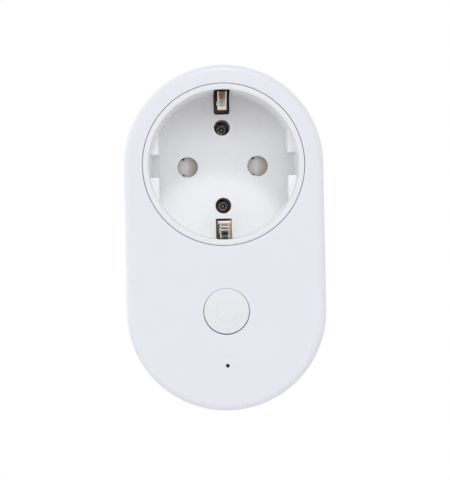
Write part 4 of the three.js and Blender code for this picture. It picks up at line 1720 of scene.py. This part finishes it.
@dataclass
class EarthParts:
    """Both earth clips, the brown cards behind them, and the plug's earth strips."""

    palette: Palette
    thick: float = 0.6
    foot: tuple[Pair, Pair] = ((-21.4, 15.9), (-20.8, 18.9))
    foot_half: float = 3.2
    crest_half: float = 1.7
    tongue_half: float = 1.2
    path: tuple[Pair, ...] = (
        (-21.1, 17.4),
        (-25.0, 17.4),
        (-28.2, 16.5),
        (-30.6, 15.35),
        (-31.8, 15.1),
        (-33.0, 15.35),
        (-36.4, 17.4),
        (-38.7, 18.8),
        (-39.7, 19.1),
    )
    crest: dict[str, Pair | None] = field(default_factory=lambda: {"upper": None, "lower": (-32.6, -30.7)})
    shoulder: float = 0.05
    card_half: float = 3.4
    card_thick: float = 0.25
    leg_thick: float = 0.3
    window: tuple[Pair, Pair] = ((-1.35, 16.7), (1.35, 18.3))
    strip_half: float = 2.5
    strip_end_round: float = 0.6

    def build(self) -> None:
        """Models every earthing piece twice, above and below the axis."""
        for side, word in ((1, "upper"), (-1, "lower")):
            self._clip(side, word)
            self._card(side, word)
            self._plug_strip(side, word)

    def _clip(self, side: int, word: str) -> None:
        """One sprung clip: a bent strip on a foot plate, and the lower one is wider at its crest.

        Args:
            side: 1 for the upper one and -1 for the lower one.
            word: Its name for this side, upper or lower.
        """
        rows = []
        crest = self.crest[word]
        for y, z in smooth_line(self.path, 6):
            half = self.crest_half if crest and crest[0] < y < crest[1] else self.tongue_half
            if rows and half != rows[-1][2]:
                rows.append((rows[-1][0] - self.shoulder, rows[-1][1], half))
            rows.append((y, side * z, half))
        clip = Workpiece.ribbon(f"{word}_earth_clip_piece", rows)
        clip.modify("SOLIDIFY", thickness=self.thick * MM, offset=0.0, use_even_offset=True)
        clip.ease(0.1, 2, 60.0)
        (y0, z0), (y1, z1) = self.foot
        zs = sorted((side * z0, side * z1))
        clip.fuse(Workpiece.box("foot", (-self.foot_half, y0, zs[0]), (self.foot_half, y1, zs[1])).ease(0.12))
        body = Body.UPPER_CLIP if side > 0 else Body.LOWER_CLIP
        # its finish carries painted highlights and painted shadows in its bands
        clip.complete(self.palette.special(CLIP_METAL[word]), body, Slot.NICKEL, [f"{word}_earth_clip"])

    def _card(self, side: int, word: str) -> None:
        """One brown card: a leg behind the floor with a window for the clip, and a leg along the wall.

        Args:
            side: 1 for the upper one and -1 for the lower one.
            word: Its name for this side, upper or lower.
        """
        box = Box(f"earth_card_{word}")
        inner, outer = (box.low.z, box.high.z) if side > 0 else (box.high.z, box.low.z)
        half, back = self.card_half, box.high.y
        front = back - self.card_thick
        floor_z = sorted((inner, outer))
        wall_z = sorted((outer, outer - side * self.leg_thick))
        card = Workpiece.box(f"earth_card_{word}_piece", (-half, front, floor_z[0]), (half, back, floor_z[1]))
        card.fuse(Workpiece.box("leg", (-half, box.low.y, wall_z[0]), (half, back, wall_z[1])))
        (x0, z0), (x1, z1) = self.window
        zs = sorted((side * z0, side * z1))
        card.cut(Workpiece.box("window", (x0, back - PAST, zs[0]), (x1, back + PAST, zs[1])))
        card.ease(0.05, 1, 60.0)
        # the upper card's finish carries painted shade, the lower card's painted light
        finish = self.palette.special(CARD_FINISH[word])
        card.complete(finish, Body.HOUSING, Slot.INSULATOR, [f"earth_card_{word}"])

    def _plug_strip(self, side: int, word: str) -> None:
        """One of the plug's side contacts: a flat strip with a round end.

        Args:
            side: 1 for the upper one and -1 for the lower one.
            word: Its name for this side, upper or lower.
        """
        box = Box(f"plug_earth_contact_{word}")
        strip = Workpiece.box(
            f"plug_earth_contact_{word}_piece",
            (-self.strip_half, box.low.y, box.low.z),
            (self.strip_half, box.high.y, box.high.z),
        )
        outer = box.high.z if side > 0 else box.low.z

        def at_end(place: Vector, way: Vector) -> bool:
            """Whether an edge is the outer one across the strip's free end."""
            return abs(way.x) > 0.9 and place.y > box.high.y - 0.01 and abs(place.z - outer) < 0.01

        strip.round_edges(self.strip_end_round, 5, at_end)
        strip.ease(0.12, 2, 60.0)
        strip.complete(self.palette[Slot.NICKEL], Body.HOUSING, Slot.NICKEL, [f"plug_earth_contact_{word}"])


@dataclass
class Shutter:
    """The grey slide behind the pin holes, its tray and its return spring."""

    palette: Palette
    plate_y: Pair = (-21.2, -20.4)
    ramp_top: float = -22.2
    half: float = 3.6
    arm_front: float = -21.9
    arm: Pair = (0.2, 1.1)
    window: Pair = (-7.9, -2.8)
    window_half: float = 2.9
    notch_x: Pair = (-3.0, -0.9)
    notch: float = 2.05
    ramp: Pair = (0.5, 3.2)
    cut_y: Pair = (-25.0, -15.0)
    coil: float = 0.8
    wire: float = 0.16
    turns: int = 8
    spring_end_gap: float = 0.02
    spring_keep: float = 0.52
    spring_anchor_x: float = -6.4

    def build(self) -> None:
        """Models the slide and the spring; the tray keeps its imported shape."""
        holes = [Box(name).centre.x for name in ("neutral_pin", "live_pin")]
        self._slide(holes)
        self._spring()

    def _slide(self, holes: Sequence[float]) -> None:
        """The slide: a plate with an arm, and for each pin a window and a ramp.

        Args:
            holes: The x of each pin hole.
        """
        box = Box("shutter")
        front, back = self.plate_y
        slide = Workpiece.box("shutter_piece", (box.low.x, front, -self.half), (box.high.x, back, self.half))
        slide.round_edges(0.6, 4, lambda place, way: abs(way.y) > 0.9)
        left, right = (box.low.x + x for x in self.arm)
        arm = Workpiece.box("arm", (left, self.arm_front, self.half - 0.3), (right, back, box.high.z))
        slide.fuse(arm.ease(0.15))
        wide, notch = self.window_half, self.notch
        near, far = self.cut_y
        for x in holes:
            x0, x1 = (x + edge for edge in self.window)
            x2, x3 = (x + edge for edge in self.notch_x)
            slide.cut(
                Workpiece.box("window", (x0, near, -wide), (x1, far, wide)),
                Workpiece.box("notch", (x2, near, notch), (x3, far, wide)),
                Workpiece.box("notch", (x2, near, -wide), (x3, far, -notch)),
            )
        slide.fuse(*(self._ramp(x) for x in holes))
        slide.ease(0.06, 1, 60.0)
        slide.complete(self.palette[Slot.SHUTTER], Body.SHUTTER, Slot.SHUTTER, ["shutter"])

    def _ramp(self, x: float) -> Workpiece:
        """The ramp that a pin pushes aside.

        Args:
            x: The x of the ramp's pin hole.

        Returns:
            The ramp.
        """
        front, top, half = self.plate_y[0], self.ramp_top, self.half - 0.2
        low, high = (x + end for end in self.ramp)
        ramp = Workpiece.box("ramp", (low, top, -half), (high, front + 0.1, half))
        return ramp.shift(
            lambda place, _: place.x < low + 0.01 and place.y < top + 0.01, (0.0, front - top, 0.0)
        )

    def _spring(self) -> None:
        """The return spring, modelled at its rest length on the housing; the real one shortens along X as the
        slide moves.
        """
        box = Box("shutter_spring")
        inset = self.wire + self.spring_end_gap
        length = box.high.x - box.low.x - 2 * inset
        bpy.ops.mesh.primitive_circle_add(
            vertices=10,
            radius=self.wire * MM,
            fill_type="NOTHING",
            location=(self.coil * MM, 0.0, 0.0),
            rotation=(math.pi / 2, 0.0, 0.0),
        )
        spring = Workpiece("shutter_spring_piece")
        spring.modify(
            "SCREW",
            axis="Z",
            angle=2 * math.pi,
            screw_offset=length / self.turns * MM,
            iterations=self.turns,
            steps=20,
            render_steps=20,
            use_merge_vertices=False,
        )
        for far_end in (False, True):
            with spring.editing():
                bpy.ops.mesh.select_mode(type="EDGE")
                bpy.ops.mesh.select_all(action="DESELECT")
                bpy.ops.mesh.select_non_manifold()
                mesh = bmesh.from_edit_mesh(spring.object.data)
                for edge in mesh.edges:
                    if edge.select and (edge.verts[0].co.z / MM > length / 2) != far_end:
                        edge.select_set(False)
                bmesh.update_edit_mesh(spring.object.data)
                bpy.ops.mesh.edge_face_add()
        spring.outwards()
        spring.object.rotation_euler = (0.0, math.pi / 2, 0.0)
        spring.object.location = ((box.low.x + inset) * MM, box.centre.y * MM, box.centre.z * MM)
        steel = Slot.SPRING_STEEL
        piece = spring.complete(self.palette[steel], Body.HOUSING, steel, ["shutter_spring"])
        self.spring_anchor_x * MM
        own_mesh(piece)


@dataclass
class PlugPins:
    """The two round pins with domed tips and collars inside the end wall."""

    palette: Palette
    radius: float = 2.4
    collar: float = 3.3
    collar_y: Pair = (-3.1, -2.3)
    stub: float = 1.35
    tip: float = 1.9
    tip_steps: int = 8

    def build(self) -> None:
        """Models both pins and hangs them on the housing."""
        for name in ("live_pin", "neutral_pin"):
            box = Box(name)
            axis, start, end = (box.centre.x, box.centre.z), box.low.y, box.high.y
            low, high = self.collar_y
            pin = Workpiece.disc(f"{name}_piece", self.stub - 0.15, start, 48, axis).grow(
                (self.stub, start + 0.15),
                (self.stub, low),
                (self.collar - 0.12, low),
                (self.collar, low + 0.12),
                (self.collar, high),
                (self.radius, high),
                *self._tip(end),
            )
            pin.complete(self.palette[Slot.NICKEL], Body.HOUSING, Slot.NICKEL, [name])

    def _tip(self, end: float) -> list[Pair]:
        """The rings of the rounded tip, which ends in a small flat.

        Args:
            end: The y of the pin's end.

        Returns:
            Each ring as its radius and y.
        """
        rings = [(self.radius, end - self.tip)]
        for step in range(1, self.tip_steps):
            angle = math.pi / 2 * step / self.tip_steps
            rings.append((self.radius * math.cos(angle) ** 0.8, end - self.tip * (1 - math.sin(angle))))
        return [*rings, (0.3, end)]


@dataclass
class PushButton:
    """The round button with its faint mark, and the black indicator under it."""

    palette: Palette
    flange_y: Pair = (2.2, 2.9)
    edge: float = 0.22
    front_wall: float = 1.2
    hollow: float = 5.0
    stem: float = 1.5
    mark_radius: float = 2.95
    mark_line: float = 0.3
    mark_rise: float = 0.03
    mark_gap: float = 1.0
    mark_base: float = 0.5
    lens: float = 0.45

    def build(self) -> None:
        """Models the cap, the mark and the lens."""
        box = Box("button_cap")
        axis, front, back = (box.centre.x, box.centre.z), box.low.y, box.high.y
        wide = box.high.x - box.centre.x
        radius = wide - BUTTON_STEP
        step, end = (front + depth for depth in self.flange_y)
        cap = Workpiece.disc("button_cap_piece", radius - self.edge, front, 128, axis).grow(
            (radius - 0.3 * self.edge, front + 0.3 * self.edge),
            (radius, front + self.edge),
            (radius, step),
            (wide, step),
            (wide, end),
        )
        cap.cut(Workpiece.rod("hollow", self.hollow, front + self.front_wall, back + PAST, 64, axis))
        cap.fuse(Workpiece.rod("stem", self.stem, front + self.front_wall - 0.2, back, 32, axis))
        cap.ease(0.06, 1, 60.0)
        cap.complete(self.palette[Slot.BUTTON], Body.BUTTON, Slot.BUTTON, ["button_cap"])
        self._mark(axis, front)
        self._lens()

    def _mark(self, axis: Pair, front: float) -> None:
        """The plain power sign: a ring with a gap at the top and a bar in it.

        Args:
            axis: The x and z of the button's centre.
            front: The y of the button's face.
        """
        x, z = axis
        top, foot = front - self.mark_rise, front + 0.1
        outer, line, gap = self.mark_radius, self.mark_line, self.mark_gap
        base = z + self.mark_base
        mark = Workpiece.rod("button_mark", outer, top, foot, 72, axis)
        mark.cut(
            Workpiece.rod("middle", outer - line, top - PAST, foot + PAST, 72, axis),
            Workpiece.box("gap", (x - gap, top - PAST, base), (x + gap, foot + PAST, z + 4.0)),
        )
        mark.fuse(Workpiece.box("bar", (x - line / 2, top, base), (x + line / 2, foot, z + outer + 0.3)))
        mark.complete(self.palette.special(MARK), Body.BUTTON, Slot.BUTTON)

    def _lens(self) -> None:
        """The indicator's light pipe, black until it is lit."""
        box = Box("light_pipe")
        axis, front = (box.centre.x, box.centre.z), box.low.y
        lens = Workpiece.disc("light_pipe_piece", self.lens - 0.1, front, 32, axis).grow(
            (self.lens, front + 0.1),
            (self.lens, front + 2.1),
            (box.high.x - 0.15, front + 2.1),
            (box.high.x, front + 2.25),
            (box.high.x, box.high.y - 0.15),
            (box.high.x - 0.15, box.high.y),
        )
        lens.complete(self.palette[Slot.LENS], Body.HOUSING, Slot.LENS, ["light_pipe"])


@dataclass
class CarriedNodes:
    """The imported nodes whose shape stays: they get a finish each."""

    palette: Palette
    nodes: dict[str, bpy.types.Object]
    finishes: dict[str, Slot] = field(
        default_factory=lambda: {
            "earth_strap": Slot.NICKEL,
            "live_receptacle": Slot.BRASS,
            "neutral_receptacle": Slot.BRASS,
            "live_busbar": Slot.BRASS,
            "neutral_busbar": Slot.BRASS,
            "load_busbar": Slot.BRASS,
            "shutter_retainer": Slot.INSERT,
            "tact_switch_body": Slot.BLACK_PLASTIC,
            "tact_switch_plunger": Slot.BLACK_PLASTIC,
            "status_led": Slot.LED,
            "control_board": Slot.BOARD,
            "wireless_module": Slot.BOARD,
            "shield_can": Slot.TINNED_STEEL,
            "main_board": Slot.BOARD,
            "relay": Slot.RELAY_CASE,
            "film_capacitor": Slot.FILM_CASE,
            "bulk_capacitor_a": Slot.CAN_SLEEVE,
            "bulk_capacitor_b": Slot.CAN_SLEEVE,
            "transformer_core": Slot.FERRITE,
            "transformer_winding": Slot.TAPE,
            "fuse": Slot.FUSE_CERAMIC,
            "varistor": Slot.VARISTOR_COAT,
            "choke": Slot.FERRITE,
            "bridge_rectifier": Slot.BLACK_PLASTIC,
            "optocoupler": Slot.BLACK_PLASTIC,
            "metering_chip": Slot.BLACK_PLASTIC,
            "shunt_resistor": Slot.SHUNT_ALLOY,
            "board_header": Slot.BLACK_PLASTIC,
            "main_board_screw_1": Slot.DARK_STEEL,
            "main_board_screw_2": Slot.DARK_STEEL,
            "control_board_screw_1": Slot.DARK_STEEL,
            "control_board_screw_2": Slot.DARK_STEEL,
        }
    )

    def build(self) -> None:
        """Gives each node its finish."""
        for name, slot in self.finishes.items():
            mesh = self.nodes[name].data
            mesh.materials.clear()
            mesh.materials.append(self.palette[slot])
            LOG.info("%s: %s", name, slot.value)


# ---- Stage --------------------------------------------------------------------------------------------


@dataclass(frozen=True)
class Glow:
    """One soft part of the surrounding light.

    Attributes:
        towards: Where it is strongest.
        edge: The cosines, from that direction, between which it rises.
        strength: Its highest value.
    """

    towards: Triple
    edge: Pair
    strength: float


@dataclass
class Stage:
    """The floor, the world, the lights and the camera."""

    palette: Palette
    eye: Triple = (-7.0, -491.5, -16.5)
    target: Triple = (-0.05, -41.5, -19.8)
    roll: float = -1.2
    lens: float = 129.15
    sensor: float = 36.0
    floor_drop: float = 190.0
    floor_radius: float = 900.0
    key_direction: Triple = (0.072, -0.633, 0.770)
    key_distance: float = 2.0
    key_size: float = 0.24
    key_power: float = 9.0
    glows: tuple[Glow, ...] = (
        Glow((0.0, -0.8, 0.6), (0.7, 1.0), 1.1),
        Glow((0.0, -1.0, 0.0), (0.8, 1.0), 0.38),
        Glow((-0.7, -0.7, 0.0), (0.7, 1.0), 0.88),
        Glow((-1.0, 0.3, 0.0), (0.3, 0.9), 0.6),
        Glow((0.7, -0.7, 0.0), (0.7, 1.0), 0.95),
        Glow((0.0, 1.0, 0.0), (-0.4, 0.2), 1.0),
    )

    def build(self) -> None:
        """Sets the stage."""
        self._floor()
        self._world()
        self._key()
        self._camera()

    def _floor(self) -> None:
        """A wide pale floor below the object."""
        low = Box("front_shell").low.z
        bpy.ops.mesh.primitive_circle_add(
            vertices=96,
            radius=self.floor_radius * MM,
            fill_type="NGON",
            location=(0.0, 0.0, (low - self.floor_drop) * MM),
        )
        floor = bpy.context.active_object
        floor.name = "floor"
        floor.data.materials.append(self.palette.special(FLOOR))

    def _world(self) -> None:
        """White all round for the eye; for light, the glows, which the eye doesn't see."""
        world = bpy.data.worlds.new("surround")
        bpy.context.scene.world = world
        world.use_nodes = True
        sheet = Sheet(world.node_tree)
        background = world.node_tree.nodes["Background"]
        direction = sheet.add("ShaderNodeTexCoord").outputs["Generated"]
        total = None
        for glow in self.glows:
            part = self._glow(sheet, direction, glow)
            if total is not None:
                both = sheet.add("ShaderNodeMath", operation="ADD")
                sheet.link(total, both.inputs[0])
                sheet.link(part, both.inputs[1])
                part = both.outputs[0]
            total = part
        seen = sheet.add("ShaderNodeLightPath").outputs["Is Camera Ray"]
        choice = sheet.add("ShaderNodeMix", data_type="FLOAT")
        choice.inputs[3].default_value = 1.0
        sheet.link(seen, choice.inputs[0])
        sheet.link(total, choice.inputs[2])
        sheet.link(choice.outputs[0], background.inputs["Strength"])
        background.inputs["Color"].default_value = (1.0, 1.0, 1.0, 1.0)

    @staticmethod
    def _glow(sheet: Sheet, direction: bpy.types.NodeSocket, glow: Glow) -> bpy.types.NodeSocket:
        """Adds one glow to the world's tree.

        Args:
            sheet: The world's tree.
            direction: The direction that a ray looks in.
            glow: The glow.

        Returns:
            The strength's socket.
        """
        cosine = sheet.add("ShaderNodeVectorMath", operation="DOT_PRODUCT")
        cosine.inputs[1].default_value = Vector(glow.towards).normalized()
        rise = sheet.add("ShaderNodeMapRange", interpolation_type="SMOOTHSTEP")
        for label, value in zip(("From Min", "From Max", "To Max"), (*glow.edge, glow.strength)):
            rise.inputs[label].default_value = value
        sheet.link(direction, cosine.inputs[0])
        sheet.link(cosine.outputs["Value"], rise.inputs["Value"])
        return rise.outputs["Result"]

    def _key(self) -> None:
        """The soft main light, above the socket and a little to the right."""
        direction = Vector(self.key_direction).normalized()
        bpy.ops.object.light_add(type="AREA", location=direction * self.key_distance)
        light = bpy.context.active_object
        light.name = "key_light"
        light.data.shape = "DISK"
        light.data.size = self.key_size
        light.data.energy = self.key_power
        light.rotation_euler = direction.to_track_quat("Z", "Y").to_euler()

    def _camera(self) -> None:
        """The camera, which looks along +Y with a slight roll."""
        eye, target = Vector(self.eye) * MM, Vector(self.target) * MM
        bpy.ops.object.camera_add(location=eye)
        camera = bpy.context.active_object
        camera.name = "main_camera"
        camera.data.lens = self.lens
        camera.data.sensor_width = self.sensor
        turn = (target - eye).to_track_quat("-Z", "Y")
        camera.rotation_euler = turn.to_euler()
        camera.rotation_euler.rotate_axis("Z", math.radians(self.roll))
        bpy.context.scene.camera = camera
        bpy.context.scene.view_settings.view_transform = "Standard"


def main(frame: dict[str, Any]) -> None:
    """Builds every piece in order.
    """
    logging.basicConfig(level=logging.INFO, format="%(message)s")
    palette = Palette()
    CarriedNodes(palette, frame["nodes"]).build()
    FrontShell(palette).build()
    BackCover(palette).build()
    SocketInsert(palette).build()
    DeepScrews(palette).build()
    EarthParts(palette).build()
    Shutter(palette).build()
    PlugPins(palette).build()
    PushButton(palette).build()
    Stage(palette).build()


if __name__ == "__main__":
    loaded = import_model()
    main(loaded)
